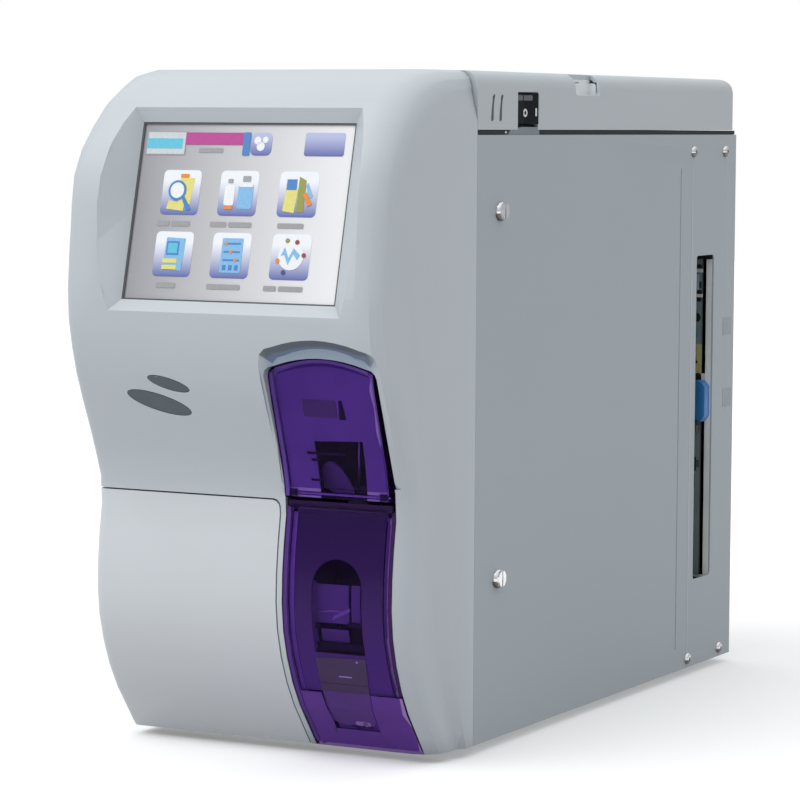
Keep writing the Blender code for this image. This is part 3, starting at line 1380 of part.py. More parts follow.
def make_switch():
    """Open switch housing on the top frame, with a rocker that pivots about an upright pin."""
    floor = FRAME_UNDER + CHASSIS_SHEET + FIT_GAP
    outer = HALF_WIDTH - LID_WALL - FIT_GAP
    low_y = SWITCH_FRONT - SWITCH_WALL - OVERRUN
    high_y = SWITCH_REAR + SWITCH_WALL + OVERRUN
    top = SWITCH_TOP + SWITCH_WALL + OVERRUN
    housing = block("switch_housing", (outer - SWITCH_DEPTH, low_y, floor), (outer, high_y, top))
    middle_y = (SWITCH_FRONT + SWITCH_REAR) / 2
    middle_z = (LID_FOOT + SWITCH_SILL + SWITCH_TOP) / 2
    well = block(
        "switch_well",
        (outer - SWITCH_DEPTH + 2 * SWITCH_WALL,
         middle_y - ROCKER_LENGTH / 2 - SWITCH_WALL - FIT_GAP,
         middle_z - ROCKER_HEIGHT / 2 - FIT_GAP),
        (outer + OVERRUN, middle_y + ROCKER_LENGTH / 2 + SWITCH_WALL + FIT_GAP,
         middle_z + ROCKER_HEIGHT / 2 + FIT_GAP))
    cut(housing, well)
    part(housing, "switch_housing", "grey_plastic")
    pivot_x = HALF_WIDTH - ROCKER_PIVOT_DEPTH
    face = HALF_WIDTH - OVERRUN / 2
    half = ROCKER_LENGTH / 2
    throw = math.tan(ROCKER_THROW) * half
    outline = [
        (pivot_x - ROCKER_DEPTH / 4, middle_y - half), (face - throw, middle_y - half),
        (face - throw / 2, middle_y), (face + throw, middle_y + half),
        (pivot_x - ROCKER_DEPTH / 4, middle_y + half)]
    rocker = prism("power_rocker", outline, middle_z - ROCKER_HEIGHT / 2,
                   middle_z + ROCKER_HEIGHT / 2, "Z")
    keel = rod("rocker_keel", (pivot_x, middle_y, middle_z - ROCKER_HEIGHT / 2),
               (pivot_x, middle_y, middle_z + ROCKER_HEIGHT / 2), ROCKER_DEPTH * KEEL_SHARE)
    unite(rocker, keel)
    part(rocker, "power_rocker", "black_plastic")
    pivot("power_rocker_axis", (pivot_x, middle_y, middle_z), rocker)


# Chassis

def make_chassis():
    """Folded base pan with its feet, and the upright bulkhead that carries the mechanisms."""
    front = FRONT_Y + PAN_FRONT
    tongue_half = HALF_WIDTH - SIDE_STEP - MOULDING_WALL - FIT_GAP
    pan = block("base_pan", (-CHASSIS_HALF, SEAM_Y + FIT_GAP, PAN_UNDER),
                (CHASSIS_HALF, REAR_INNER - FIT_GAP, PAN_FLOOR))
    rims = [block("pan_tongue", (-tongue_half, front, PAN_UNDER),
                  (tongue_half, SEAM_Y + PAN_RIM, PAN_FLOOR))]
    for side in (1, -1):
        xs = sorted((side * CHASSIS_HALF, side * (CHASSIS_HALF - CHASSIS_SHEET)))
        rims.append(block(f"pan_rim_{side}", (xs[0], BULKHEAD_Y + FIT_GAP, PAN_UNDER),
                          (xs[1], REAR_INNER - FIT_GAP, PAN_UNDER + PAN_RIM)))
    rims.append(block("pan_rim_rear", (-CHASSIS_HALF, REAR_INNER - FIT_GAP - CHASSIS_SHEET,
                                       PAN_UNDER),
                      (CHASSIS_HALF, REAR_INNER - FIT_GAP, PAN_UNDER + PAN_RIM)))
    unite(pan, *rims)
    for side in (1, -1):
        for number, (y, z) in enumerate(small_places()[2:]):
            cut(pan, rod(f"pan_hole_{side}_{number}",
                         (side * (CHASSIS_HALF - 2 * CHASSIS_SHEET), y, z),
                         (side * (CHASSIS_HALF + OVERRUN), y, z), SMALL_SHANK_RADIUS + FIT_GAP,
                         sides=12))
    for number, (x, z) in enumerate(rear_screw_places()[:2]):
        cut(pan, rod(f"pan_rear_hole_{number}", (x, REAR_INNER - 3 * CHASSIS_SHEET, z),
                     (x, REAR_Y, z), SMALL_SHANK_RADIUS + FIT_GAP, sides=12))
    part(pan, "base_pan", "zinc_steel")

    for across, side in (("left", -1), ("right", 1)):
        x = side * (HALF_WIDTH - FOOT_INSET_X)
        for along, y in (("front", FRONT_Y + FOOT_FROM_FRONT), ("rear", REAR_Y - FOOT_FROM_REAR)):
            name = f"foot_{along}_{across}"
            foot = rod(name, (x, y, 0), (x, y, FOOT_HEIGHT), FOOT_RADIUS - FOOT_TAPER,
                       FOOT_RADIUS, sides=20)
            part(foot, name, "rubber")

    wall = block("bulkhead", (-CHASSIS_HALF, BULKHEAD_FACE, PAN_FLOOR + FIT_GAP),
                 (CHASSIS_HALF, BULKHEAD_Y, BULKHEAD_TOP))
    for side in (1, -1):
        xs = sorted((side * CHASSIS_HALF, side * (CHASSIS_HALF - CHASSIS_SHEET)))
        flange = block(f"bulkhead_flange_{side}",
                       (xs[0], BULKHEAD_Y - BULKHEAD_FLANGE, PAN_UNDER + PAN_RIM + FIT_GAP),
                       (xs[1], BULKHEAD_Y, PANEL_TOP - TOP_FRAME_FLANGE - FIT_GAP))
        unite(wall, flange)
        for number, (y, z) in enumerate(thumb_places()):
            cut(wall, rod(f"flange_hole_{side}_{number}",
                          (side * (CHASSIS_HALF - 2 * CHASSIS_SHEET), y, z),
                          (side * (CHASSIS_HALF + OVERRUN), y, z),
                          THUMB_SHANK_RADIUS + FIT_GAP, sides=12))
    jar_y = FRONT_Y + JAR_SETBACK
    unite(wall, block("jar_shelf", (JAR_X - JAR_RADIUS, jar_y - JAR_RADIUS, JAR_FOOT - JAR_SHELF),
                      (JAR_X + JAR_RADIUS, BULKHEAD_Y, JAR_FOOT - FIT_GAP)))
    cable_half = SCREEN_WIDTH / 4
    cut(wall, block("cable_window", (-cable_half, BULKHEAD_FACE - OVERRUN, SCREEN_FOOT + PAN_RIM),
                    (cable_half, BULKHEAD_Y + OVERRUN, SCREEN_FOOT + SCREEN_HEIGHT / 2)))
    cut(wall, block("tube_window", (MANIFOLD_X - VALVE_SPACING, BULKHEAD_FACE - OVERRUN,
                                    SYRINGE_FOOT + SYRINGE_LENGTH),
                    (MANIFOLD_X + VALVE_SPACING, BULKHEAD_Y + OVERRUN,
                     MANIFOLD_Z - MANIFOLD_HEIGHT)))
    part(wall, "bulkhead", "zinc_steel")


# Screws

def thumb_places():
    """Depth and height of the two thumb screws on a side."""
    return [(THUMB_Y, THUMB_UPPER), (THUMB_Y, THUMB_LOWER)]


def small_places():
    """Depth and height of the four small screws at a side's rear, upper pair first."""
    rear = REAR_Y - SMALL_REAR_FROM_REAR
    front = rear - SMALL_SPACING
    return [(front, SMALL_UPPER), (rear, SMALL_UPPER), (front, SMALL_LOWER), (rear, SMALL_LOWER)]


def rear_screw_places():
    """Across and height of the rear panel's screws, lower pair first."""
    x = CHASSIS_HALF - FOOT_INSET_X / 2
    low = PAN_UNDER + PAN_RIM / 2
    return [(-x, low), (x, low)]


def screw_solid(name, place, out, radius, head, shank_radius, shank, seat_gap=FIT_GAP):
    """A slotted screw: its head stands on the panel and its shank points inward."""
    place, out = Vector(place), Vector(out)
    seat = place + out * seat_gap
    top = seat + out * head if seat_gap > 0 else place + out * head
    body = rod(name, seat, top, radius, radius * SCREW_TAPER_SHARE, sides=SCREW_SIDES)
    unite(body, rod(name + "_shank", place - out * shank, place + out * (head / 2),
                    shank_radius, sides=10))
    reach = radius + OVERRUN
    if abs(out.x) > abs(out.y):
        low = (-SLOT_CUT_DEPTH, -SLOT_CUT_WIDTH / 2, -reach)
        high = (SLOT_CUT_DEPTH, SLOT_CUT_WIDTH / 2, reach)
    else:
        low = (-SLOT_CUT_WIDTH / 2, -SLOT_CUT_DEPTH, -reach)
        high = (SLOT_CUT_WIDTH / 2, SLOT_CUT_DEPTH, reach)
    slot = block(name + "_slot", low, high)
    slot.location = top
    return cut(body, slot)


def make_thumb_screws():
    """The large thumb screws, two on each side."""
    for side, label in ((1, "right"), (-1, "left")):
        for height, (y, z) in zip(("upper", "lower"), thumb_places()):
            name = f"thumb_screw_{label}_{height}"
            screw = screw_solid(
                name, (side * HALF_WIDTH, y, z), (side, 0, 0), THUMB_RADIUS,
                THUMB_HEAD - FIT_GAP, THUMB_SHANK_RADIUS, THUMB_SHANK)
            part(screw, name, "chrome")


def small_screw(name, place, out):
    """A small captive screw whose head is joined to the panel that it holds."""
    return screw_solid(
        name, place, out, SMALL_HEAD_RADIUS, SMALL_HEAD, SMALL_SHANK_RADIUS, SMALL_SHANK,
        -PANEL_SHEET / 2)


# Rear panel fittings

def port_places():
    """Across and height of the three fluid ports."""
    return [(PORT_X, PORT_Z + number * PORT_SPACING) for number in range(3)]


def make_fan():
    """Guard, square housing with three struts, and a seven-bladed rotor on the hub's axle."""
    half = FAN_SIZE / 2
    rear = REAR_INNER - FIT_GAP
    front = rear - FAN_DEPTH
    housing = block("fan_housing", (FAN_X - half, front, FAN_HEIGHT - half),
                    (FAN_X + half, rear, FAN_HEIGHT + half))
    cut(housing, rod("fan_duct", (FAN_X, front - OVERRUN, FAN_HEIGHT),
                     (FAN_X, rear + OVERRUN, FAN_HEIGHT), FAN_BORE, sides=32))
    hub_back = front + FAN_STRUT
    unite(housing, rod("fan_motor", (FAN_X, front, FAN_HEIGHT), (FAN_X, hub_back, FAN_HEIGHT),
                       FAN_HUB, sides=20))
    for number in range(3):
        angle = 2 * math.pi * number / 3 + math.pi / 6
        tip = FAN_BORE + OVERRUN
        strut = block(f"fan_strut_{number}", (FAN_HUB / 2, -FAN_STRUT / 2, -FAN_STRUT / 2),
                      (tip, FAN_STRUT / 2, FAN_STRUT / 2))
        reach = (tip + FAN_HUB / 2) / 2
        strut.rotation_euler = (0, -angle, 0)
        strut.location = (FAN_X + reach * math.cos(angle), front + FAN_STRUT / 2,
                          FAN_HEIGHT + reach * math.sin(angle))
        unite(housing, strut)
    axle_end = rear - 2 * FAN_STRUT
    unite(housing, rod("fan_axle", (FAN_X, front + FAN_STRUT / 2, FAN_HEIGHT),
                       (FAN_X, axle_end - FAN_STRUT, FAN_HEIGHT), FAN_AXLE, sides=12))
    part(housing, "fan_housing", "black_plastic")

    low_y = hub_back + FIT_GAP
    rotor = rod("fan_rotor", (FAN_X, low_y, FAN_HEIGHT), (FAN_X, axle_end, FAN_HEIGHT),
                FAN_HUB, sides=20)
    for number in range(FAN_BLADES):
        angle = 2 * math.pi * number / FAN_BLADES
        root = FAN_HUB - FAN_STRUT / 2
        tip = FAN_BORE - FAN_BLADE_TIP_GAP
        blade = loft(f"fan_blade_{number}", [
            blade_section(radius, angle, pitch, low_y, axle_end)
            for radius, pitch in zip((root, (root + tip) / 2, tip), BLADE_PITCHES)])
        unite(rotor, blade)
    cut(rotor, rod("rotor_bore", (FAN_X, low_y - OVERRUN, FAN_HEIGHT),
                   (FAN_X, axle_end - FAN_STRUT + FIT_GAP, FAN_HEIGHT),
                   FAN_AXLE + BORE_CLEARANCE, sides=12))
    part(rotor, "fan_rotor", "black_plastic")
    pivot("fan_axis", (FAN_X, (low_y + axle_end) / 2, FAN_HEIGHT), rotor)

    guard_y = REAR_Y + FIT_GAP + GUARD_WIRE
    guard = None
    for number in range(GUARD_RINGS):
        radius = FAN_BORE * (number + 1) / GUARD_RINGS + GUARD_WIRE
        profile = [
            (radius + GUARD_WIRE * math.cos(angle), GUARD_WIRE * math.sin(angle))
            for angle in (math.pi / 4, -math.pi / 4, -3 * math.pi / 4, 3 * math.pi / 4)
        ]
        ring = turned(f"guard_ring_{number}", profile, steps=18)
        ring.rotation_euler = (math.pi / 2, 0, 0)
        ring.location = (FAN_X, guard_y, FAN_HEIGHT)
        guard = ring if guard is None else unite(guard, ring)
    for number in range(2):
        angle = math.pi / 4 + math.pi / 2 * number
        reach = FAN_BORE + 2 * GUARD_WIRE
        ends = [(FAN_X + way * reach * math.cos(angle), guard_y,
                 FAN_HEIGHT + way * reach * math.sin(angle)) for way in (-1, 1)]
        unite(guard, rod(f"guard_spoke_{number}", ends[0], ends[1],
                         GUARD_WIRE * SPOKE_SHARE, sides=8))
    part(guard, "fan_guard", "chrome")


def blade_section(radius, angle, pitch, low_y, high_y):
    """A thin slanted rectangle: one section of a fan blade at a radius."""
    span = (high_y - low_y) * BLADE_SPAN_SHARE
    middle_y = (low_y + high_y) / 2
    half_chord = span / 2 / math.sin(pitch + math.pi / 6)
    thick = FAN_STRUT / 5
    along = Vector((math.cos(angle), 0, math.sin(angle)))
    around = Vector((-math.sin(angle), 0, math.cos(angle)))
    chord = around * math.cos(pitch) + Vector((0, math.sin(pitch), 0))
    normal = chord.cross(along)
    centre = Vector((FAN_X, middle_y, FAN_HEIGHT)) + along * radius
    return [
        centre + chord * half_chord * a + normal * thick * b
        for a, b in ((-1, -1), (1, -1), (1, 1), (-1, 1))
    ]


def make_inlet():
    """Recessed mains inlet with its flange and three contact pins."""
    half_w = INLET_WIDTH / 2
    half_h = INLET_HEIGHT / 2
    rear = REAR_Y + FIT_GAP
    out = rear + INLET_FLANGE_THICKNESS
    back = REAR_Y - INLET_DEPTH
    body = block("power_inlet", (INLET_X - half_w - INLET_WALL, back, INLET_Z - half_h - INLET_WALL),
                 (INLET_X + half_w + INLET_WALL, rear + INLET_FLANGE_THICKNESS / 2,
                  INLET_Z + half_h + INLET_WALL))
    flange = rounded(
        INLET_X - half_w - INLET_FLANGE, INLET_X + half_w + INLET_FLANGE,
        INLET_Z - half_h - INLET_FLANGE, INLET_Z + half_h + INLET_FLANGE, (INLET_FLANGE / 2,) * 4)
    unite(body, prism("inlet_flange", flange, rear, out))
    corner = INLET_FLANGE
    socket = [
        (INLET_X - half_w, INLET_Z - half_h), (INLET_X + half_w, INLET_Z - half_h),
        (INLET_X + half_w, INLET_Z + half_h - corner),
        (INLET_X + half_w - corner, INLET_Z + half_h),
        (INLET_X - half_w + corner, INLET_Z + half_h),
        (INLET_X - half_w, INLET_Z + half_h - corner)]
    cut(body, prism("inlet_socket", socket, back + INLET_WALL, out + OVERRUN))
    for number in (-1, 0, 1):
        x = INLET_X + number * INLET_PIN_SPACING
        z = INLET_Z + (INLET_PIN if number == 0 else -INLET_PIN)
        unite(body, block(
            f"inlet_pin_{number}", (x - INLET_PIN / 2, back + INLET_WALL / 2, z - INLET_PIN),
            (x + INLET_PIN / 2, REAR_Y - INLET_WALL, z + INLET_PIN)))
    part(body, "power_inlet", "black_plastic")


def make_ports():
    """Three barbed ports for the diluent, the lyse and the waste lines."""
    reach = REAR_FITTING_REACH
    barb = (reach - PORT_FLANGE_RADIUS / 2) / PORT_BARBS
    last = port_places()[-1][1]
    plate = rounded(
        PORT_X - PORT_FLANGE_RADIUS, PORT_X + PORT_FLANGE_RADIUS, PORT_Z - PORT_FLANGE_RADIUS,
        last + PORT_FLANGE_RADIUS, (PORT_FLANGE_RADIUS,) * 4)
    block_body = prism("port_plate", plate, REAR_Y + FIT_GAP, REAR_Y + PORT_FLANGE_RADIUS / 3)
    for number, (x, z) in enumerate(port_places()):
        inner = -PANEL_SHEET - PORT_FLANGE_RADIUS
        neck = PORT_RADIUS * PORT_NECK_SHARE
        profile = [(PORT_BORE, reach)]
        height = reach
        for _ in range(PORT_BARBS):
            profile.append((neck, height))
            profile.append((PORT_RADIUS * PORT_BARB_SHARE, height - barb * BARB_RUN_SHARE))
            height -= barb
        profile += [
            (neck, height), (neck, PORT_FLANGE_RADIUS / 2),
            (PORT_RADIUS, PORT_FLANGE_RADIUS / 2), (PORT_RADIUS, inner), (PORT_BORE, inner)]
        profile = without_repeats(profile)
        port = turned(f"port_{number}", profile, steps=8)
        port.rotation_euler = (-math.pi / 2, 0, 0)
        port.location = (x, REAR_Y, z)
        cut(block_body, rod(f"port_seat_{number}", (x, REAR_Y - OVERRUN, z),
                            (x, REAR_Y + PORT_FLANGE_RADIUS, z),
                            PORT_RADIUS * PORT_SEAT_SHARE))
        unite(block_body, port)
    part(block_body, "fluid_port_block", "white_plastic")


def without_repeats(profile):
    """The profile without points that repeat the one before."""
    kept = [profile[0]]
    for point in profile[1:]:
        if abs(point[0] - kept[-1][0]) + abs(point[1] - kept[-1][1]) > FIT_GAP / 10:
            kept.append(point)
    return kept


# Piercing mechanism

def make_piercer(door_pin, cover_pin):
    """Frame, rods, threaded spindle, motor, carriage with the needle, and the rinse cup."""
    bay = make_bay()
    frame_back = BULKHEAD_FACE - FIT_GAP
    frame_front = frame_back - FRAME_DEPTH
    half = FRAME_WIDTH / 2
    left = NEEDLE_X - half
    right = NEEDLE_X + half
    frame = block("piercer_frame", (left, frame_back - FRAME_SHEET, FRAME_FOOT),
                  (right, frame_back, FRAME_TOP))
    for label, z in (("low", FRAME_FOOT), ("high", FRAME_TOP - FRAME_SHEET)):
        unite(frame, block(f"frame_arm_{label}", (left, frame_front, z),
                           (right, frame_back - FRAME_SHEET / 2, z + FRAME_SHEET)))
    low = FRAME_FOOT - FRAME_SHEET / 2
    high = FRAME_TOP + FRAME_SHEET / 2
    for label, side in (("left", -1), ("right", 1)):
        x = NEEDLE_X + side * ROD_SPACING / 2
        cut(frame, rod(f"rod_seat_{label}", (x, ROD_Y, low - OVERRUN), (x, ROD_Y, high + OVERRUN),
                       ROD_RADIUS + BORE_CLEARANCE))
        guide = rod(f"guide_rod_{label}", (x, ROD_Y, low), (x, ROD_Y, high), ROD_RADIUS)
        part(guide, f"guide_rod_{label}", "chrome")
    journal = SCREW_RADIUS * SCREW_CORE_SHARE
    cut(frame, rod("spindle_seat", (NEEDLE_X, ROD_Y, low - OVERRUN),
                   (NEEDLE_X, ROD_Y, high + OVERRUN), journal + BORE_CLEARANCE))
    part(frame, "piercer_frame", "aluminium")

    thread_low = FRAME_FOOT + FRAME_SHEET + SCREW_JOURNAL
    thread_high = FRAME_TOP - FRAME_SHEET - SCREW_JOURNAL
    spindle = rod("lead_screw", (NEEDLE_X, ROD_Y, FRAME_FOOT + FIT_GAP),
                  (NEEDLE_X, ROD_Y, FRAME_TOP - FIT_GAP), journal, sides=8)
    turns = int((thread_high - thread_low) / SCREW_LEAD)
    root = journal - SCREW_JOURNAL / 4
    ridge = turned("thread", [
        (root, SCREW_LEAD * THREAD_ROOT_SHARE), (SCREW_RADIUS, SCREW_LEAD * THREAD_CREST_SHARE),
        (SCREW_RADIUS, -SCREW_LEAD * THREAD_CREST_SHARE), (root, -SCREW_LEAD * THREAD_ROOT_SHARE)],
        steps=8, pitch=SCREW_LEAD, turns=turns - 1)
    ridge.location = (NEEDLE_X, ROD_Y, thread_low + SCREW_LEAD / 2)
    unite(spindle, close_ends(ridge))
    part(spindle, "lead_screw", "chrome")
    pivot("lead_screw_axis", (NEEDLE_X, ROD_Y, (FRAME_FOOT + FRAME_TOP) / 2), spindle)

    motor = block(
        "piercer_motor", (NEEDLE_X - MOTOR_SIZE / 2, ROD_Y - MOTOR_SIZE / 2, FRAME_TOP + FIT_GAP),
        (NEEDLE_X + MOTOR_SIZE / 2, ROD_Y + MOTOR_SIZE / 2, FRAME_TOP + MOTOR_HEIGHT),
        MOTOR_CORNER, 2, upright_only=True)
    part(motor, "piercer_motor", "black_plastic")

    carriage_low = CARRIAGE_Z - CARRIAGE_HEIGHT / 2
    carriage_high = CARRIAGE_Z + CARRIAGE_HEIGHT / 2
    carriage = block(
        "piercer_carriage", (NEEDLE_X - CARRIAGE_WIDTH / 2, ROD_Y - CARRIAGE_DEPTH / 2, carriage_low),
        (NEEDLE_X + CARRIAGE_WIDTH / 2, ROD_Y + CARRIAGE_DEPTH / 2, carriage_high),
        FIT_GAP * 4, 1)
    arm = block(
        "needle_arm", (NEEDLE_X - ARM_WIDTH / 2, NEEDLE_Y - NEEDLE_BLOCK / 2,
                       CARRIAGE_Z - ARM_THICKNESS / 2),
        (NEEDLE_X + ARM_WIDTH / 2, ROD_Y, CARRIAGE_Z + ARM_THICKNESS / 2))
    unite(carriage, arm)
    for number, x in enumerate((NEEDLE_X - ROD_SPACING / 2, NEEDLE_X + ROD_SPACING / 2)):
        cut(carriage, rod(f"bush_{number}", (x, ROD_Y, carriage_low - OVERRUN),
                          (x, ROD_Y, carriage_high + OVERRUN), ROD_RADIUS + BORE_CLEARANCE))
    cut(carriage, rod("nut_bore", (NEEDLE_X, ROD_Y, carriage_low - OVERRUN),
                      (NEEDLE_X, ROD_Y, carriage_high + OVERRUN), SCREW_RADIUS + BORE_CLEARANCE))
    cut(carriage, rod("needle_seat", (NEEDLE_X, NEEDLE_Y, CARRIAGE_Z - ARM_THICKNESS),
                      (NEEDLE_X, NEEDLE_Y, CARRIAGE_Z + ARM_THICKNESS),
                      2 * NEEDLE_RADIUS + FIT_GAP, sides=12))
    part(carriage, "piercer_carriage", "grey_plastic")

    needle_top = CARRIAGE_Z + ARM_THICKNESS
    collar = CARRIAGE_Z - ARM_THICKNESS / 2
    needle = turned("sample_needle", [
        (0, needle_top), (2 * NEEDLE_RADIUS, needle_top), (2 * NEEDLE_RADIUS, collar),
        (NEEDLE_RADIUS, collar), (NEEDLE_RADIUS, NEEDLE_FOOT + NEEDLE_TIP),
        (0, NEEDLE_FOOT)], steps=12)
    needle.location = (NEEDLE_X, NEEDLE_Y, 0)
    part(needle, "sample_needle", "chrome")
    pivot("piercer_axis", (NEEDLE_X, NEEDLE_Y, CARRIAGE_Z), carriage, needle)

    cup_low = RINSE_TOP - RINSE_HEIGHT
    cup = turned("rinse_cup", [
        (RINSE_BORE, RINSE_TOP), (RINSE_RADIUS, RINSE_TOP),
        (RINSE_RADIUS, cup_low + RINSE_HEIGHT / 3), (RINSE_RADIUS / 2, cup_low),
        (RINSE_BORE, cup_low)], steps=16)
    cup.location = (NEEDLE_X, NEEDLE_Y, 0)
    bay_back = BAY_REAR - BAY_WALL - FIT_GAP
    side = NEEDLE_SLOT / 2 + RINSE_ARM
    bracket = block(
        "rinse_bracket", (NEEDLE_X - side, bay_back - RINSE_ARM / 2, RINSE_TOP - 2 * RINSE_ARM),
        (NEEDLE_X + side, bay_back, RINSE_TOP - RINSE_ARM / 2))
    bar = block(
        "rinse_bar", (NEEDLE_X - RINSE_ARM / 2, NEEDLE_Y + RINSE_RADIUS * RINSE_GRIP_SHARE,
                      RINSE_TOP - RINSE_ARM * RINSE_BAR_FOOT_SHARE),
        (NEEDLE_X + RINSE_ARM / 2, bay_back - RINSE_ARM / 4,
         RINSE_TOP - RINSE_ARM * RINSE_BAR_TOP_SHARE))
    unite(cup, bar, bracket)
    part(cup, "rinse_cup", "white_plastic")

    seat_left = STATION_LEFT - BAY_CLEARANCE - BAY_WALL
    seat_right = STATION_RIGHT + BAY_CLEARANCE + BAY_WALL
    room = TUBE_HINGE_RADIUS
    for number, x in enumerate((seat_left, seat_right - BAY_WALL)):
        lug = block(
            f"door_lug_{number}", (x + FIT_GAP, TUBE_HINGE_Y - room, PAN_FLOOR + 2 * FIT_GAP),
            (x + BAY_WALL - FIT_GAP, BAY_REAR - 2 * BAY_WALL, TUBE_HINGE_HEIGHT + room))
        unite(bay, common(lug, front_solid(f"door_lug_front_{number}", MOULDING_WALL + FIT_GAP)))
    beam_y = COVER_HINGE_Y + COVER_BEAM_SETBACK
    thin = COVER_LUG_RADIUS - FIT_GAP
    low_z = COVER_HINGE_Z - thin
    high_z = COVER_HINGE_Z + thin
    beam = block("cover_beam", (seat_left + BAY_WALL / 2, beam_y, low_z - COVER_LUG_RADIUS),
                 (seat_right - BAY_WALL / 2, beam_y + COVER_BEAM_DEPTH,
                  COVER_HINGE_Z + FIT_GAP))
    for number, (x0, x1) in enumerate(cover_lug_spans()):
        unite(beam, block(f"cover_arm_{number}", (x0 + FIT_GAP, COVER_HINGE_Y, low_z),
                          (x1 - FIT_GAP, beam_y + COVER_BEAM_DEPTH / 2, high_z)))
        unite(beam, rod(f"cover_eye_{number}", (x0, COVER_HINGE_Y, COVER_HINGE_Z),
                        (x1, COVER_HINGE_Y, COVER_HINGE_Z), COVER_LUG_RADIUS))
    cut(beam, rod("cover_pin_seat", (seat_left, COVER_HINGE_Y, COVER_HINGE_Z),
                  (seat_right, COVER_HINGE_Y, COVER_HINGE_Z),
                  COVER_PIN_RADIUS + BORE_CLEARANCE, sides=12))
    unite(bay, beam)
    cut(bay, rod("door_pin_seat", (seat_left - OVERRUN, TUBE_HINGE_Y, TUBE_HINGE_HEIGHT),
                 (seat_right + OVERRUN, TUBE_HINGE_Y, TUBE_HINGE_HEIGHT),
                 TUBE_PIN_RADIUS + BORE_CLEARANCE, sides=12))
    part(bay, "sample_bay_housing", "grey_plastic")
    part(door_pin, "sample_door_pin", "chrome")
    part(cover_pin, "probe_cover_pin", "chrome")


def close_ends(made):
    """Close the two open ends of a swept thread and turn its faces outward."""
    bpy.context.view_layer.update()
    graph = bpy.context.evaluated_depsgraph_get()
    mesh = bpy.data.meshes.new_from_object(made.evaluated_get(graph))
    sketch = bmesh.new()
    sketch.from_mesh(mesh)
    bpy.data.meshes.remove(mesh)
    rim = [edge for edge in sketch.edges if edge.is_boundary]
    bmesh.ops.edgenet_fill(sketch, edges=rim)
    bmesh.ops.recalc_face_normals(sketch, faces=sketch.faces)
    closed = shape(made.name + "_closed", sketch)
    closed.location = made.location
    bpy.data.objects.remove(made, do_unlink=True)
    return closed


# Service bay

def make_syringe():
    """Door pin, and the syringe with its bracket, plunger, stage and motor."""
    place = (DOOR_HINGE_X, DOOR_HINGE_Y)
    pin = rod("service_door_pin", (*place, DOOR_HEEL_HEIGHT), (*place, DOOR_TOP + HINGE_SEAT),
              DOOR_PIN_RADIUS, sides=12)
    part(pin, "service_door_pin", "chrome")
    back = BULKHEAD_FACE - FIT_GAP
    x, y = SYRINGE_X, FRONT_Y + SYRINGE_SETBACK
    top = SYRINGE_FOOT + SYRINGE_LENGTH
    neck = SYRINGE_BORE / 2
    barrel = turned("syringe_barrel", [
        (0, top + 2 * neck), (neck, top + 2 * neck), (neck, top), (SYRINGE_RADIUS, top),
        (SYRINGE_RADIUS, SYRINGE_FOOT), (SYRINGE_BORE, SYRINGE_FOOT),
        (SYRINGE_BORE, top - neck), (0, top - neck)], steps=20)
    barrel.location = (x, y, 0)
    part(barrel, "syringe_barrel", "clear_acrylic")

    rest = SYRINGE_FOOT + PLUNGER_TRAVEL + OVERRUN
    stage_top = SYRINGE_FOOT - OVERRUN - PLUNGER_ROD
    plunger = turned("syringe_plunger", [
        (0, rest + PLUNGER_HEAD), (PLUNGER_HEAD, rest + PLUNGER_HEAD), (PLUNGER_HEAD, rest),
        (PLUNGER_ROD, rest), (PLUNGER_ROD, stage_top), (0, stage_top)], steps=16)
    plunger.location = (x, y, 0)
    stage = block("plunger_stage", (x - CLAMP_WIDTH / 2, y - CLAMP_DEPTH / 2,
                                    stage_top - STAGE_HEIGHT),
                  (x + CLAMP_WIDTH / 2, y + CLAMP_DEPTH / 2, stage_top + OVERRUN / 4))
    unite(plunger, stage)

    bracket = block("syringe_bracket", (x - CLAMP_WIDTH / 2, back - CLAMP_PLATE,
                                        PAN_FLOOR + FIT_GAP),
                    (x + CLAMP_WIDTH / 2, back, top))
    for label, z in (("low", SYRINGE_FOOT + CLAMP_HEIGHT / 2), ("high", top - 2 * CLAMP_HEIGHT)):
        clamp = block(f"clamp_{label}", (x - CLAMP_WIDTH / 2, y - SYRINGE_RADIUS / 2, z),
                      (x + CLAMP_WIDTH / 2, back - CLAMP_PLATE / 2, z + CLAMP_HEIGHT))
        unite(bracket, clamp)
    cut(bracket, rod("clamp_bore", (x, y, SYRINGE_FOOT - OVERRUN), (x, y, top + OVERRUN),
                     SYRINGE_RADIUS + FIT_GAP, sides=20))
    part(bracket, "syringe_bracket", "aluminium")
    shaft_x = x + SYRINGE_SHAFT_OFFSET
    motor = block("syringe_motor",
                  (shaft_x - MOTOR_SIZE / 2, y - MOTOR_SIZE / 2, PAN_FLOOR + FIT_GAP),
                  (shaft_x + MOTOR_SIZE / 2, y + MOTOR_SIZE / 2, SYRINGE_MOTOR_TOP),
                  MOTOR_CORNER, 2, upright_only=True)
    unite(motor, rod("syringe_shaft", (shaft_x, y, SYRINGE_MOTOR_TOP - MOTOR_SHAFT_RADIUS),
                     (shaft_x, y, SYRINGE_FOOT - OVERRUN / 2), MOTOR_SHAFT_RADIUS, sides=12))
    part(motor, "syringe_motor", "black_plastic")
    cut(plunger, rod("stage_bore", (shaft_x, y, SYRINGE_MOTOR_TOP),
                     (shaft_x, y, SYRINGE_FOOT - OVERRUN / 4),
                     MOTOR_SHAFT_RADIUS + BORE_CLEARANCE, sides=12))
    part(plunger, "syringe_plunger", "white_plastic")
    pivot("plunger_axis", (x, y, SYRINGE_FOOT), plunger)


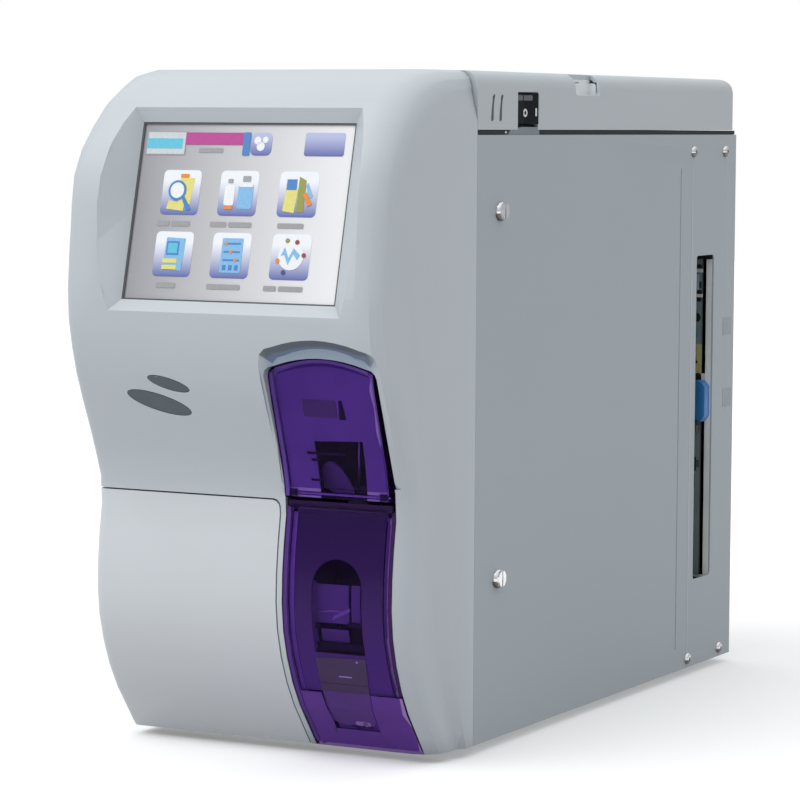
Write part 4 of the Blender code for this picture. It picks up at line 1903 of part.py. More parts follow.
def make_fluidics():
    """The waste jar, valve row, detector block and pump."""
    back = BULKHEAD_FACE - FIT_GAP
    jar_y = FRONT_Y + JAR_SETBACK
    jar_top = JAR_FOOT + JAR_HEIGHT
    jar = turned("waste_chamber", [
        (0, jar_top), (JAR_RADIUS * JAR_NECK_SHARE, jar_top), (JAR_RADIUS, jar_top - JAR_CAP),
        (JAR_RADIUS, JAR_FOOT + JAR_WALL), (JAR_RADIUS - JAR_WALL, JAR_FOOT), (0, JAR_FOOT)],
        steps=24)
    jar.location = (JAR_X, jar_y, 0)
    part(jar, "waste_chamber", "clear_acrylic")

    manifold_low = MANIFOLD_Z - MANIFOLD_HEIGHT / 2
    span = VALVE_SPACING * VALVE_COUNT
    manifold = block("valve_manifold", (MANIFOLD_X - span / 2, back - MANIFOLD_DEPTH, manifold_low),
                     (MANIFOLD_X + span / 2, back, MANIFOLD_Z + MANIFOLD_HEIGHT / 2))
    for number in range(VALVE_COUNT):
        valve_x = MANIFOLD_X + (number - (VALVE_COUNT - 1) / 2) * VALVE_SPACING
        face = back - MANIFOLD_DEPTH
        unite(manifold, block(
            f"valve_{number}", (valve_x - VALVE_SIZE / 2, face - VALVE_SIZE / 2,
                                MANIFOLD_Z - VALVE_SIZE / 2),
            (valve_x + VALVE_SIZE / 2, face + VALVE_SIZE / 4, MANIFOLD_Z + VALVE_SIZE / 2)))
        unite(manifold, rod(f"coil_{number}", (valve_x, face - VALVE_SIZE / 4, MANIFOLD_Z),
                            (valve_x, face - VALVE_HEIGHT, MANIFOLD_Z), VALVE_COIL_RADIUS))
    part(manifold, "valve_manifold", "clear_acrylic")

    rear_face = BULKHEAD_Y + FIT_GAP
    half = DETECTOR_SIZE / 2
    detector = block(
        "detector_block", (DETECTOR_X - half, rear_face, DETECTOR_Z - half),
        (DETECTOR_X + half, rear_face + DETECTOR_DEPTH, DETECTOR_Z + half), OVERRUN / 2, 1)
    for number, x in enumerate((DETECTOR_X - half / 2, DETECTOR_X + half / 2)):
        deep = DETECTOR_Z - half / 3
        cut(detector, rod(f"chamber_{number}", (x, rear_face + DETECTOR_DEPTH / 2, deep),
                          (x, rear_face + DETECTOR_DEPTH / 2, DETECTOR_Z + half + OVERRUN),
                          DETECTOR_BORE))
    part(detector, "detector_block", "clear_acrylic")

    pump_y = REAR_Y - PUMP_FROM_REAR
    axis_z = PAN_FLOOR + FIT_GAP + PUMP_HEAD_SIZE / 2
    pump = rod("vacuum_pump", (PUMP_X, pump_y, axis_z), (PUMP_X, pump_y + PUMP_LENGTH, axis_z),
               PUMP_RADIUS, sides=24)
    unite(pump, block(
        "pump_head", (PUMP_X - PUMP_HEAD_SIZE / 2, pump_y - PUMP_HEAD, axis_z - PUMP_HEAD_SIZE / 2),
        (PUMP_X + PUMP_HEAD_SIZE / 2, pump_y + PUMP_CRADLE, axis_z + PUMP_HEAD_SIZE / 2),
        PUMP_CRADLE, 1))
    for number, x in enumerate((PUMP_X - PUMP_HEAD_SIZE / 4, PUMP_X + PUMP_HEAD_SIZE / 4)):
        unite(pump, rod(f"pump_port_{number}", (x, pump_y - PUMP_HEAD / 2, axis_z),
                        (x, pump_y - PUMP_HEAD / 2, axis_z + PUMP_HEAD_SIZE * PUMP_PORT_SHARE),
                        PUMP_CRADLE, sides=12))
    foot_y = pump_y + PUMP_LENGTH * PUMP_FOOT_SHARE
    unite(pump, block("pump_foot", (PUMP_X - PUMP_RADIUS, foot_y, axis_z - PUMP_HEAD_SIZE / 2),
                      (PUMP_X + PUMP_RADIUS, foot_y + PUMP_CRADLE, axis_z)))
    part(pump, "vacuum_pump", "grey_plastic")


# Electronics

def make_electronics():
    """Power supply, main board on its posts, its components and the side connectors."""
    low_y = REAR_Y - SUPPLY_FROM_REAR
    low_x = SUPPLY_X - SUPPLY_WIDTH / 2
    floor = PAN_FLOOR + FIT_GAP
    supply = block("power_supply", (low_x, low_y, floor),
                   (low_x + SUPPLY_WIDTH, low_y + SUPPLY_LENGTH, floor + SUPPLY_HEIGHT))
    cut(supply, block(
        "supply_hollow", (low_x + SUPPLY_SHEET, low_y + SUPPLY_SHEET, floor + SUPPLY_SHEET),
        (low_x + SUPPLY_WIDTH - SUPPLY_SHEET, low_y + SUPPLY_LENGTH - SUPPLY_SHEET,
         floor + SUPPLY_HEIGHT - SUPPLY_SHEET)))
    for number in range(SUPPLY_VENTS):
        y = low_y + SUPPLY_LENGTH * (number + 1) / (SUPPLY_VENTS + 1)
        cut(supply, block(
            f"supply_vent_{number}",
            (low_x + 4 * SUPPLY_VENT_WIDTH, y, floor + SUPPLY_HEIGHT - 2 * SUPPLY_SHEET),
            (low_x + SUPPLY_WIDTH - 4 * SUPPLY_VENT_WIDTH, y + SUPPLY_VENT_WIDTH,
             floor + SUPPLY_HEIGHT + OVERRUN)))
    part(supply, "power_supply", "zinc_steel")

    front = BOARD_REAR - BOARD_LENGTH
    board = block("main_board", (BOARD_X, front, BOARD_FOOT),
                  (BOARD_X + BOARD_THICKNESS, BOARD_REAR, BOARD_TOP))
    for number, (y, z) in enumerate((
            (front + CHIP_SIZE / 2, BOARD_FOOT + CHIP_SIZE / 2),
            (front + CHIP_SIZE / 2, BOARD_TOP - CHIP_SIZE / 2),
            (SLOT_FRONT - CHIP_SIZE / 2, BOARD_FOOT + CHIP_SIZE / 2),
            (SLOT_FRONT - CHIP_SIZE / 2, BOARD_TOP - CHIP_SIZE / 2))):
        unite(board, rod(f"board_post_{number}", (BOARD_X + BOARD_THICKNESS / 2, y, z),
                         (PANEL_INNER - FIT_GAP, y, z), BOARD_POST_RADIUS, sides=10))
    base = BOARD_X + BOARD_THICKNESS / 2
    spots = [
        (share_y, share_z) for share_z in chip_row_shares for share_y in chip_column_shares]
    for number, (share_y, share_z) in enumerate(spots):
        size = CHIP_SIZE * (1.0 if number % 3 == 0 else CHIP_SMALL_SHARE)
        y = front + share_y * BOARD_LENGTH
        z = BOARD_FOOT + share_z * (BOARD_TOP - BOARD_FOOT)
        unite(board, block(
            f"chip_{number}", (BOARD_X - CHIP_HEIGHT, y - size / 2, z - size / 2),
            (base, y + size / 2, z + size / 2)))

    face = BOARD_X + BOARD_THICKNESS + FIT_GAP
    gap = SLOT_CORNER
    pitch = CHIP_SIZE * SOCKET_PITCH_SHARE
    rows = []
    for start in (SLOT_FOOT, SERIAL_FOOT + SERIAL_HEIGHT):
        rows += [start + pitch * (number + 0.5) for number in range(3)]
    for number, z in enumerate(rows):
        unite(board, block(
            f"socket_{number}", (base, SLOT_FRONT + gap, z),
            (face + CONNECTOR_HEIGHT, SLOT_FRONT + gap + CONNECTOR_LENGTH,
             z + CHIP_SIZE * SOCKET_SHARE)))
    part(board, "main_board", "board_green")
    serial = block(
        "serial_connector", (face, SLOT_FRONT + gap, SERIAL_FOOT),
        (face + SERIAL_REACH, SLOT_FRONT + gap + SERIAL_WIDTH, SERIAL_FOOT + SERIAL_HEIGHT),
        OVERRUN / 2, 2)
    part(serial, "serial_connector", "blue_plastic")
    wall_low = SLOT_FOOT - SLOT_CORNER
    wall = block(
        "connector_bay_wall", (BOARD_X - BOARD_STANDOFF, SLOT_REAR + FIT_GAP, wall_low),
        (PANEL_INNER - FIT_GAP, SLOT_REAR + FIT_GAP + PANEL_SHEET, SLOT_TOP + SLOT_CORNER))
    part(wall, "connector_bay_wall", "white_plastic")


def make_tubing():
    """The diluent line, from its rear port over the supply to the underside of the valves."""
    x, z = port_places()[0]
    entry = REAR_Y - PANEL_SHEET - PORT_FLANGE_RADIUS - 2 * FIT_GAP
    run_z = PAN_RIM + PAN_FLOOR + z + SUPPLY_HEIGHT
    window_z = (SYRINGE_FOOT + SYRINGE_LENGTH + MANIFOLD_Z - MANIFOLD_HEIGHT) / 2
    rise_y = BULKHEAD_FACE - FIT_GAP - MANIFOLD_DEPTH / 2
    top = MANIFOLD_Z - MANIFOLD_HEIGHT / 2 - FIT_GAP
    line = tube("diluent_line", [
        (x, entry, z), (x, entry - 6 * TUBE_RADIUS, z),
        (x - 8 * TUBE_RADIUS, entry - 20 * TUBE_RADIUS, (z + run_z) / 2),
        (MANIFOLD_X, entry / 2, run_z), (MANIFOLD_X, BULKHEAD_Y / 2, run_z),
        (MANIFOLD_X, BULKHEAD_Y + 6 * TUBE_RADIUS, window_z - 2 * TUBE_RADIUS),
        (MANIFOLD_X, BULKHEAD_Y, window_z - TUBE_RADIUS),
        (MANIFOLD_X, rise_y + TUBE_RADIUS / 2, window_z + 3 * TUBE_RADIUS),
        (MANIFOLD_X, rise_y, window_z + 8 * TUBE_RADIUS), (MANIFOLD_X, rise_y, top)],
        TUBE_RADIUS)
    part(line, "diluent_line", "silicone_tube")


def build():
    """Make every sub-part in an order that follows how they fit."""
    make_front()
    make_lenses()
    make_display()
    door_pin = make_tube_door()
    cover_pin = make_probe_cover()
    make_piercer(door_pin, cover_pin)
    make_panels()
    make_lid()
    make_switch()
    make_chassis()
    make_thumb_screws()
    make_fan()
    make_inlet()
    make_ports()
    make_syringe()
    make_fluidics()
    make_electronics()
    make_tubing()
    bpy.context.view_layer.update()


build()
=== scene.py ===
# %% [markdown]
# # A benchtop blood analyser, dressed around its CAD model
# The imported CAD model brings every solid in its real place, in metres, with
# +Z up and the front facing -Y. This lesson gives each solid the finish of the
# real instrument and adds what is too fine for the CAD model: the picture on
# the display, screw heads, switch marks, connectors and the small mechanisms
# that show through the purple covers.

# %% Load the frame
import json
import math

import bmesh
import bpy
import numpy as np
from mathutils import Matrix, Vector
from mathutils.kdtree import KDTree


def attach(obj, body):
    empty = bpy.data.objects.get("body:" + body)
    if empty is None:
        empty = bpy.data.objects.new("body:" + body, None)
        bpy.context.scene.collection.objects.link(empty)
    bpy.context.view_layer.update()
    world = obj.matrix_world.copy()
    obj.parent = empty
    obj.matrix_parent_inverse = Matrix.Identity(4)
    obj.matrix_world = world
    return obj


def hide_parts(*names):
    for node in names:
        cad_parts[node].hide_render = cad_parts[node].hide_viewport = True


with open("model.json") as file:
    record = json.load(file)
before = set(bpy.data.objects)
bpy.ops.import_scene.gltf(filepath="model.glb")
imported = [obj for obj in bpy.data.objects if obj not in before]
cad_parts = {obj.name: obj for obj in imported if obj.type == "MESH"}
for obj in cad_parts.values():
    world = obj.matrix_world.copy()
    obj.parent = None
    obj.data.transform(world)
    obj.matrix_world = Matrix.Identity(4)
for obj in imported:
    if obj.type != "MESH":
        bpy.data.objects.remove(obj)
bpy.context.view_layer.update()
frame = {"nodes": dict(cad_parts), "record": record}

nodes = frame["nodes"]
record = frame["record"]
body_of_node = {node: body for body, members in record["behaviour"]["bodies"].items()
                for node in members}
scene = bpy.context.scene

# %% [markdown]
# ## Camera
# The photograph was taken from the right of the front, a little above the
# middle. A long lens keeps the far edges almost as large as the near ones, as
# in a catalogue picture. The camera's place and turn are written as a point
# and three directions, which is easier to check than Euler angles.

# %% Camera at the photograph's angle
CAMERA_PLACE = Vector((0.83348, -1.61906, 0.3233))
CAMERA_LOOK = Vector((-0.46506, 0.88126, -0.08423)).normalized()
CAMERA_YAW = math.radians(27.82)
CAMERA_ROLL = math.radians(0.3375)
LENS_MM = 147.58
SENSOR_MM = 36.0

camera_data = bpy.data.cameras.new("camera")
camera_data.lens = LENS_MM
camera_data.sensor_width = SENSOR_MM
camera = bpy.data.objects.new("camera", camera_data)
scene.collection.objects.link(camera)
level_right = Vector((math.cos(CAMERA_YAW), math.sin(CAMERA_YAW), 0))
level_up = level_right.cross(CAMERA_LOOK).normalized()
camera_right = level_right * math.cos(CAMERA_ROLL) + level_up * math.sin(CAMERA_ROLL)
camera_up = camera_right.cross(CAMERA_LOOK).normalized()
camera_turn = Matrix((camera_right, camera_up, -CAMERA_LOOK)).transposed().to_4x4()
camera.matrix_world = Matrix.Translation(CAMERA_PLACE) @ camera_turn
scene.camera = camera
print("camera at", [round(v, 3) for v in CAMERA_PLACE], "lens", LENS_MM)

# %% [markdown]
# ## A small kit for shader nodes
# The world, the floor and every finish are trees of shader nodes. One helper
# makes a node with its settings and input values, and another links pairs of
# sockets. The third lets the camera and one more kind of ray see one shader,
# while the rays that carry light to other things meet an ordinary one.

# %% Node helpers
def add_node(tree, kind, settings=None, **values):
    """A shader node; in an input's name each space is written as _."""
    made = tree.nodes.new("ShaderNode" + kind)
    for name, value in (settings or {}).items():
        setattr(made, name, value)
    for name, value in values.items():
        made.inputs[name.replace("_", " ")].default_value = value
    return made


def join(tree, *links):
    """Link nodes: each row is a node, its output, the next node and its input."""
    for source, output, target, entry in links:
        tree.links.new(source.outputs[output], target.inputs[entry])


def show_to_camera(tree, other_ray, shown, ordinary, output):
    """Show one shader to the camera and to one other kind of ray."""
    path = add_node(tree, "LightPath")
    seen = add_node(tree, "Math", {"operation": "MAXIMUM"})
    choose = add_node(tree, "MixShader")
    join(tree, (path, "Is Camera Ray", seen, 0),
         (path, other_ray, seen, 1), (seen, 0, choose, 0),
         (ordinary, 0, choose, 1), (shown, 0, choose, 2), (choose, 0, output, "Surface"))


print("node helpers ready")

# %% [markdown]
# ## Light and floor
# The picture has soft light from above and a little from the left, and a white
# background. A bright world that grows lighter towards the top gives the soft
# fill, and one very wide sun makes the front lighter than the right side. To
# the camera, also through clear parts, the world is plain white, so the
# background never needs more light on the object.

# %% World and sun
FILL_LOW = 0.46
FILL_HIGH = 1.13
FILL_COLOUR = (0.97, 0.985, 1.0, 1.0)
SUN_STRENGTH = 1.25
SUN_WIDTH = math.radians(50)
SUN_FROM = Vector((-0.55, -0.82, 1.05))

world = bpy.data.worlds.new("studio")
world.use_nodes = True
scene.world = world
tree = world.node_tree
tree.nodes.clear()
output = add_node(tree, "OutputWorld")
direction = add_node(tree, "TexCoord")
split = add_node(tree, "SeparateXYZ")
rise = add_node(tree, "MapRange", To_Min=FILL_LOW, To_Max=FILL_HIGH)
fill = add_node(tree, "Background", Color=FILL_COLOUR)
white = add_node(tree, "Background", Color=(1, 1, 1, 1), Strength=1.0)
join(tree, (direction, "Generated", split, 0), (split, "Z", rise, "Value"),
     (rise, "Result", fill, "Strength"))
show_to_camera(tree, "Is Transmission Ray", white, fill, output)

sun_data = bpy.data.lights.new("sun", "SUN")
sun_data.energy = SUN_STRENGTH
sun_data.angle = SUN_WIDTH
sun = bpy.data.objects.new("sun", sun_data)
sun.rotation_mode = "QUATERNION"
sun.rotation_quaternion = SUN_FROM.to_track_quat("Z", "Y")
scene.collection.objects.link(sun)
print("fill", FILL_LOW, "to", FILL_HIGH, "sun", SUN_STRENGTH)

# %% [markdown]
# ## Floor
# The floor is white where the camera sees it, so it meets the white background
# with no horizon line, and it keeps the soft shadow of the feet. For the light
# that it throws back on the object it is a middle grey, because a white floor
# would light up the undersides, which are dark on the real one.

# %% Floor
FLOOR_RADIUS = 6.0
FLOOR_GREY = (0.50, 0.50, 0.51, 1)
FLOOR_WHITE = (0.82, 0.82, 0.82, 1)
FLOOR_GLOW = 0.22

floor_mesh = bpy.data.meshes.new("floor")
sketch = bmesh.new()
bmesh.ops.create_circle(sketch, cap_ends=True, segments=64, radius=FLOOR_RADIUS)
sketch.to_mesh(floor_mesh)
sketch.free()
floor = bpy.data.objects.new("floor", floor_mesh)
scene.collection.objects.link(floor)
floor_paint = bpy.data.materials.new("floor_white")
floor_paint.use_nodes = True
tree = floor_paint.node_tree
tree.nodes.clear()
output = add_node(tree, "OutputMaterial")
grey = add_node(tree, "BsdfDiffuse", Color=FLOOR_GREY)
pale = add_node(tree, "BsdfDiffuse", Color=FLOOR_WHITE)
glow = add_node(tree, "Emission", Strength=FLOOR_GLOW)
both = add_node(tree, "AddShader")
join(tree, (pale, 0, both, 0), (glow, 0, both, 1))
show_to_camera(tree, "Is Glossy Ray", both, grey, output)
floor_mesh.materials.append(floor_paint)

scene.view_settings.view_transform = "Standard"
print("floor radius", FLOOR_RADIUS, "m")

# %% [markdown]
# ## A small kit for materials
# Every finish starts from the Principled shader. Fine detail comes from noise
# on Object coordinates, which stay put because each object sits at the origin.
# One helper makes the shader, one adds a texture that changes its colour, its
# roughness and its bump a little, as real paint and plastic do, and one fades
# the colour along an axis. Two more paint shade into the colour: in hollows, and
# in the recess in the front.

# %% Material helpers
finishes = {}
RAMP_PLACES = (0.3, 0.7)
# painted shade in the recess over the probe cover: how far to darken, the
# painted shade's colour, and the soft steps that mark the place: first the
# steep rim of the recess, which faces down, then its floor
RECESS_PAINTED_SHADES = (
    (0.84, (0.045, 0.060, 0.085), (
        ("slope", "Z", -0.44, -0.56), ("place", "Z", 0.198, 0.206),
        ("place", "Z", 0.223, 0.219), ("place", "X", 0.010, 0.024),
        ("place", "X", 0.086, 0.078))),
    (0.55, (0.170, 0.270, 0.430), (
        ("place", "Y", -0.2243, -0.2232), ("place", "Z", 0.190, 0.204),
        ("place", "Z", 0.2160, 0.2135), ("place", "X", 0.018, 0.026),
        ("place", "X", 0.082, 0.076))),
)


def new_finish(name, colour, roughness, metallic=0.0, **sockets):
    """A Principled material, kept by its name. Gives its node tree and its shader."""
    made = bpy.data.materials.new(name)
    made.use_nodes = True
    finishes[name] = made
    shader = made.node_tree.nodes["Principled BSDF"]
    values = {"Base_Color": (*colour, 1), "Roughness": roughness, "Metallic": metallic}
    for socket, value in {**values, **sockets}.items():
        shader.inputs[socket.replace("_", " ")].default_value = value
    return made.node_tree, shader


def grained(name, colour, roughness, scale, spread=0.05, bump=0.0, bump_depth=0.00002,
            shine=None, stretch=(1, 1, 1), metallic=0.0, **sockets):
    """A finish with noise in its colour, and if asked in its roughness and surface."""
    tree, shader = new_finish(name, colour, roughness, metallic, **sockets)
    place = add_node(tree, "TexCoord")
    mapping = add_node(tree, "Mapping", Scale=stretch)
    noise = add_node(tree, "TexNoise", Scale=scale, Detail=3.0)
    ramp = add_node(tree, "ValToRGB")
    for mark, position, share in zip(ramp.color_ramp.elements, RAMP_PLACES,
                                     (1 - spread, 1 + spread)):
        mark.position = position
        mark.color = (*[min(c * share, 1) for c in colour], 1)
    join(tree, (place, "Object", mapping, "Vector"), (mapping, "Vector", noise, "Vector"),
         (noise, "Fac", ramp, "Fac"), (ramp, "Color", shader, "Base Color"))
    if shine:
        span = add_node(tree, "MapRange", To_Min=shine[0], To_Max=shine[1])
        join(tree, (noise, "Fac", span, "Value"), (span, "Result", shader, "Roughness"))
    if bump:
        fine = add_node(tree, "TexNoise", Scale=bump, Detail=2.0)
        relief = add_node(tree, "Bump", Strength=0.6, Distance=bump_depth)
        join(tree, (mapping, "Vector", fine, "Vector"), (fine, "Fac", relief, "Height"),
             (relief, "Normal", shader, "Normal"))
    return tree, shader


def faded(name, stops, low, high, axis="Z", roughness=0.25, specular=0.3):
    """A finish whose colour changes along one axis, by stops from 0 to 1."""
    tree, shader = new_finish(name, stops[0][1], roughness, Specular_IOR_Level=specular)
    place = add_node(tree, "TexCoord")
    split = add_node(tree, "SeparateXYZ")
    span = add_node(tree, "MapRange", From_Min=low, From_Max=high)
    ramp = add_node(tree, "ValToRGB")
    marks = ramp.color_ramp.elements
    for position, colour in stops[1:-1]:
        marks.new(position)
    for mark, (position, colour) in zip(marks, stops):
        mark.position = position
        mark.color = (*colour, 1)
    join(tree, (place, "Object", split, 0), (split, axis, span, "Value"),
         (span, "Result", ramp, "Fac"), (ramp, "Color", shader, "Base Color"))


def paint_crease_shade(tree, shader, share, distance):
    """Paint shade into the colour in hollows and joints, where less light arrives."""
    colour = shader.inputs["Base Color"].links[0].from_socket
    hollow = add_node(tree, "AmbientOcclusion", {"samples": 8}, Distance=distance)
    mixed = add_node(tree, "Mix", {"data_type": "RGBA", "blend_type": "MULTIPLY"}, Factor=share)
    tree.links.new(colour, mixed.inputs["A"])
    join(tree, (hollow, "Color", mixed, "B"), (mixed, "Result", shader, "Base Color"))


def paint_recess_shade(tree, shader):
    """Paint shade into the recess over the probe cover: its steep rim, and its floor a little.
    """
    colour = shader.inputs["Base Color"].links[0].from_socket
    place = add_node(tree, "SeparateXYZ")
    slope = add_node(tree, "SeparateXYZ")
    join(tree, (add_node(tree, "TexCoord"), "Object", place, 0),
         (add_node(tree, "NewGeometry"), "Normal", slope, 0))
    sources = {"place": place, "slope": slope}
    for strength, shade, steps in RECESS_PAINTED_SHADES:
        total = None
        for source, axis, low, high in steps:
            step = add_node(tree, "MapRange", {"interpolation_type": "SMOOTHSTEP"},
                            From_Min=low, From_Max=high)
            join(tree, (sources[source], axis, step, "Value"))
            if total:
                both = add_node(tree, "Math", {"operation": "MULTIPLY"})
                join(tree, (total, 0, both, 0), (step, "Result", both, 1))
            total = both if total else step
        part = add_node(tree, "Math", {"operation": "MULTIPLY"})
        part.inputs[1].default_value = strength
        mixed = add_node(tree, "Mix", {"data_type": "RGBA"}, B=(*shade, 1))
        join(tree, (total, 0, part, 0), (part, 0, mixed, "Factor"))
        tree.links.new(colour, mixed.inputs["A"])
        colour = mixed.outputs["Result"]
    tree.links.new(colour, shader.inputs["Base Color"])


def dress(finish_name, *names):
    """Give a finish to CAD nodes in place of the frame's own material."""
    for name in names:
        mesh = nodes[name].data
        mesh.materials.clear()
        mesh.materials.append(finishes[finish_name])


print("material helpers ready")

# %% [markdown]
# ## Smooth copies of the CAD shells
# The CAD mesh is made of flat facets, so each outer shell is copied, its
# doubles are merged and it is shaded smooth. On the curved shells each
# corner's normal is averaged over the skin round it, which removes the creases
# between facets. Sheet edges get a small round that catches the light.

# %% Smooth copies
MERGE_DISTANCE = 0.000004
FLAT_ANGLE = math.radians(0.15)
BEVEL_ANGLE = math.radians(50)
NORMAL_SPREAD = 40.0
GOLDEN_STEP = 0.6180339887
TINY = 1e-12
# the average takes in less round the recess over the probe cover, so that the
# recess keeps its rim
CRISP_LOW, CRISP_HIGH = np.array((0.010, -0.24, 0.190)), np.array((0.090, -0.21, 0.225))
CRISP_SPREAD = 24.0


def skin_spots(corners, step):
    """Spots spread evenly over triangles, with each one's facing and share of area."""
    across = np.cross(corners[:, 1] - corners[:, 0], corners[:, 2] - corners[:, 0])
    lengths = np.linalg.norm(across, axis=1, keepdims=True)
    facings = across / np.maximum(lengths, TINY)
    spots, spot_facings, weights = [], [], []
    for corner, facing_way, area in zip(corners, facings, lengths[:, 0] / 2):
        count = max(1, math.ceil(area / step ** 2))
        first = (np.arange(count) + 0.5) / count
        second = (np.arange(count) * GOLDEN_STEP + 0.5) % 1
        root = np.sqrt(first)
        shares = np.stack([1 - root, root * (1 - second), root * second], axis=1)
        spots.append(shares @ corner)
        spot_facings.append(np.repeat(facing_way[None], count, axis=0))
        weights.append(np.full(count, area / count))
    return np.concatenate(spots), np.concatenate(spot_facings), np.concatenate(weights)


def even_normals(mesh, reach):
    """Average each corner's normal over a small neighbourhood of like-facing skin."""
    mesh.calc_loop_triangles()
    places = np.empty(len(mesh.vertices) * 3)
    mesh.vertices.foreach_get("co", places)
    places = places.reshape(-1, 3)
    corners = places[np.array([t.vertices for t in mesh.loop_triangles])]
    spots, spot_facings, weights = skin_spots(corners, reach / 4)
    tree = KDTree(len(spots))
    for number, spot in enumerate(spots):
        tree.insert(spot, number)
    tree.balance()
    near = []
    for place in places:
        found = tree.find_range(place, reach)
        numbers = np.array([item[1] for item in found], int)
        fall = np.array([1 - item[2] / reach for item in found])
        near.append((numbers, fall * weights[numbers] if len(numbers) else fall))
    crisp = ((places > CRISP_LOW) & (places < CRISP_HIGH)).all(axis=1)
    limits = np.cos(np.radians(np.where(crisp, CRISP_SPREAD, NORMAL_SPREAD)))
    normals = np.empty((len(mesh.loops), 3))
    for face in mesh.polygons:
        own = np.array(face.normal)
        for corner in face.loop_indices:
            point = mesh.loops[corner].vertex_index
            numbers, share = near[point]
            normal = own
            if len(numbers):
                alike = spot_facings[numbers] @ own > limits[point]
                total = (spot_facings[numbers][alike] * share[alike][:, None]).sum(axis=0)
                if np.linalg.norm(total) > TINY:
                    normal = total / np.linalg.norm(total)
            normals[corner] = normal
    mesh.normals_split_custom_set([tuple(normal) for normal in normals])


def finished_copy(node, finish_name, sharp, edge=0.0, reach=0.0):
    """A merged, smooth-shaded copy of a CAD node that stands in its place."""
    sketch = bmesh.new()
    sketch.from_mesh(nodes[node].data)
    bmesh.ops.remove_doubles(sketch, verts=sketch.verts, dist=MERGE_DISTANCE)
    bmesh.ops.dissolve_limit(sketch, angle_limit=FLAT_ANGLE, verts=sketch.verts,
                             edges=sketch.edges, use_dissolve_boundaries=False)
    mesh = bpy.data.meshes.new(node + "_finished")
    sketch.to_mesh(mesh)
    sketch.free()
    mesh.materials.clear()
    mesh.materials.append(finishes[finish_name])
    mesh.shade_smooth()
    mesh.set_sharp_from_angle(angle=math.radians(sharp))
    if reach:
        even_normals(mesh, reach)
    piece = bpy.data.objects.new(node + "_finished", mesh)
    scene.collection.objects.link(piece)
    if edge:
        rounding = piece.modifiers.new("soft_edges", "BEVEL")
        rounding.width = edge
        rounding.segments = 3
        rounding.limit_method = "ANGLE"
        rounding.angle_limit = BEVEL_ANGLE
        rounding.use_clamp_overlap = True
    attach(piece, body_of_node[node])
    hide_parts(node)
    return piece


print("copies get normals within", NORMAL_SPREAD, "degrees")

# %% [markdown]
# ## Moulded front and painted panels
# The front is injection-moulded plastic with a fine spark texture. The steel
# panels are painted to match, with a slightly rougher powder coat. All get a
# very faint drift of tone over a hand's width, so large areas never look flat.

# %% Moulding and paint
MOULDING = (0.545, 0.587, 0.622)
# painted light: the service door is a lighter copy of the same moulding
LIT_DOOR_MOULDING = (0.635, 0.665, 0.695)
PANEL = (0.425, 0.470, 0.498)
LID = (0.525, 0.565, 0.590)

for name, colour in (("lit_door_moulding", LIT_DOOR_MOULDING), ("moulding", MOULDING)):
    tree, shader = grained(name, colour, 0.42, 9.0, 0.018, bump=2600.0, bump_depth=0.00003,
                           shine=(0.38, 0.48), Specular_IOR_Level=0.4)
# painted shade on the moulding: darker colour in hollows and joints
paint_crease_shade(tree, shader, 0.5, 0.014)
# painted shade in the recess over the probe cover
paint_recess_shade(tree, shader)
grained("panel_paint", PANEL, 0.5, 7.0, 0.02, bump=1500.0, bump_depth=0.00006,
        shine=(0.46, 0.58), Specular_IOR_Level=0.35)
tree, shader = grained("lid_paint", LID, 0.48, 7.0, 0.018, bump=1500.0, bump_depth=0.00005,
                       shine=(0.44, 0.55), Specular_IOR_Level=0.35)
# painted shade on the lid: darker colour in hollows and joints
paint_crease_shade(tree, shader, 0.6, 0.005)
for node, finish_name in (("front_bezel", "moulding"), ("service_door", "lit_door_moulding")):
    finished_copy(node, finish_name, 35.0, reach=0.012)
for node in ("side_panel_left", "side_panel_right", "rear_panel"):
    finished_copy(node, "panel_paint", 30.0, edge=0.00055)
finished_copy("top_cover", "lid_paint", 35.0, edge=0.0008)
print("front, panels and lid finished")

# %% [markdown]
# ## Clear purple plastic
# The tube door and the probe cover are moulded in clear plastic that is dyed
# violet. It works as a filter: what lies behind it shows in violet, pale parts
# bright and dark openings nearly black. A tinted Transparent shader lets light
# through in straight lines, also for shadows, and a thin share of a glossy
# shader keeps the polish of the surface.

# %% Purple covers
FILTER = (0.65, 0.505, 0.845)
SKIN = (0.020, 0.007, 0.045)
SKIN_SHARE = 0.12

for name, node in (("violet_cover", "probe_cover"), ("violet_door", "sample_door")):
    tree, shader = grained(name, SKIN, 0.12, 30.0, Specular_IOR_Level=0.35)
    through = add_node(tree, "BsdfTransparent", Color=(*FILTER, 1))
    blend = add_node(tree, "MixShader")
    blend.inputs[0].default_value = SKIN_SHARE
    join(tree, (through, 0, blend, 1), (shader, 0, blend, 2),
         (blend, 0, tree.nodes["Material Output"], "Surface"))
    finished_copy(node, name, 40.0, reach=0.010)
print("violet covers", FILTER)

# %% [markdown]
# ## Plastics, rubber and glass of the small parts
# Behind the covers and at the back there are dark plastics, rubber feet, glass
# and clear acrylic blocks. Each gets its own grain, so that a close view of
# the inside still reads as several materials.

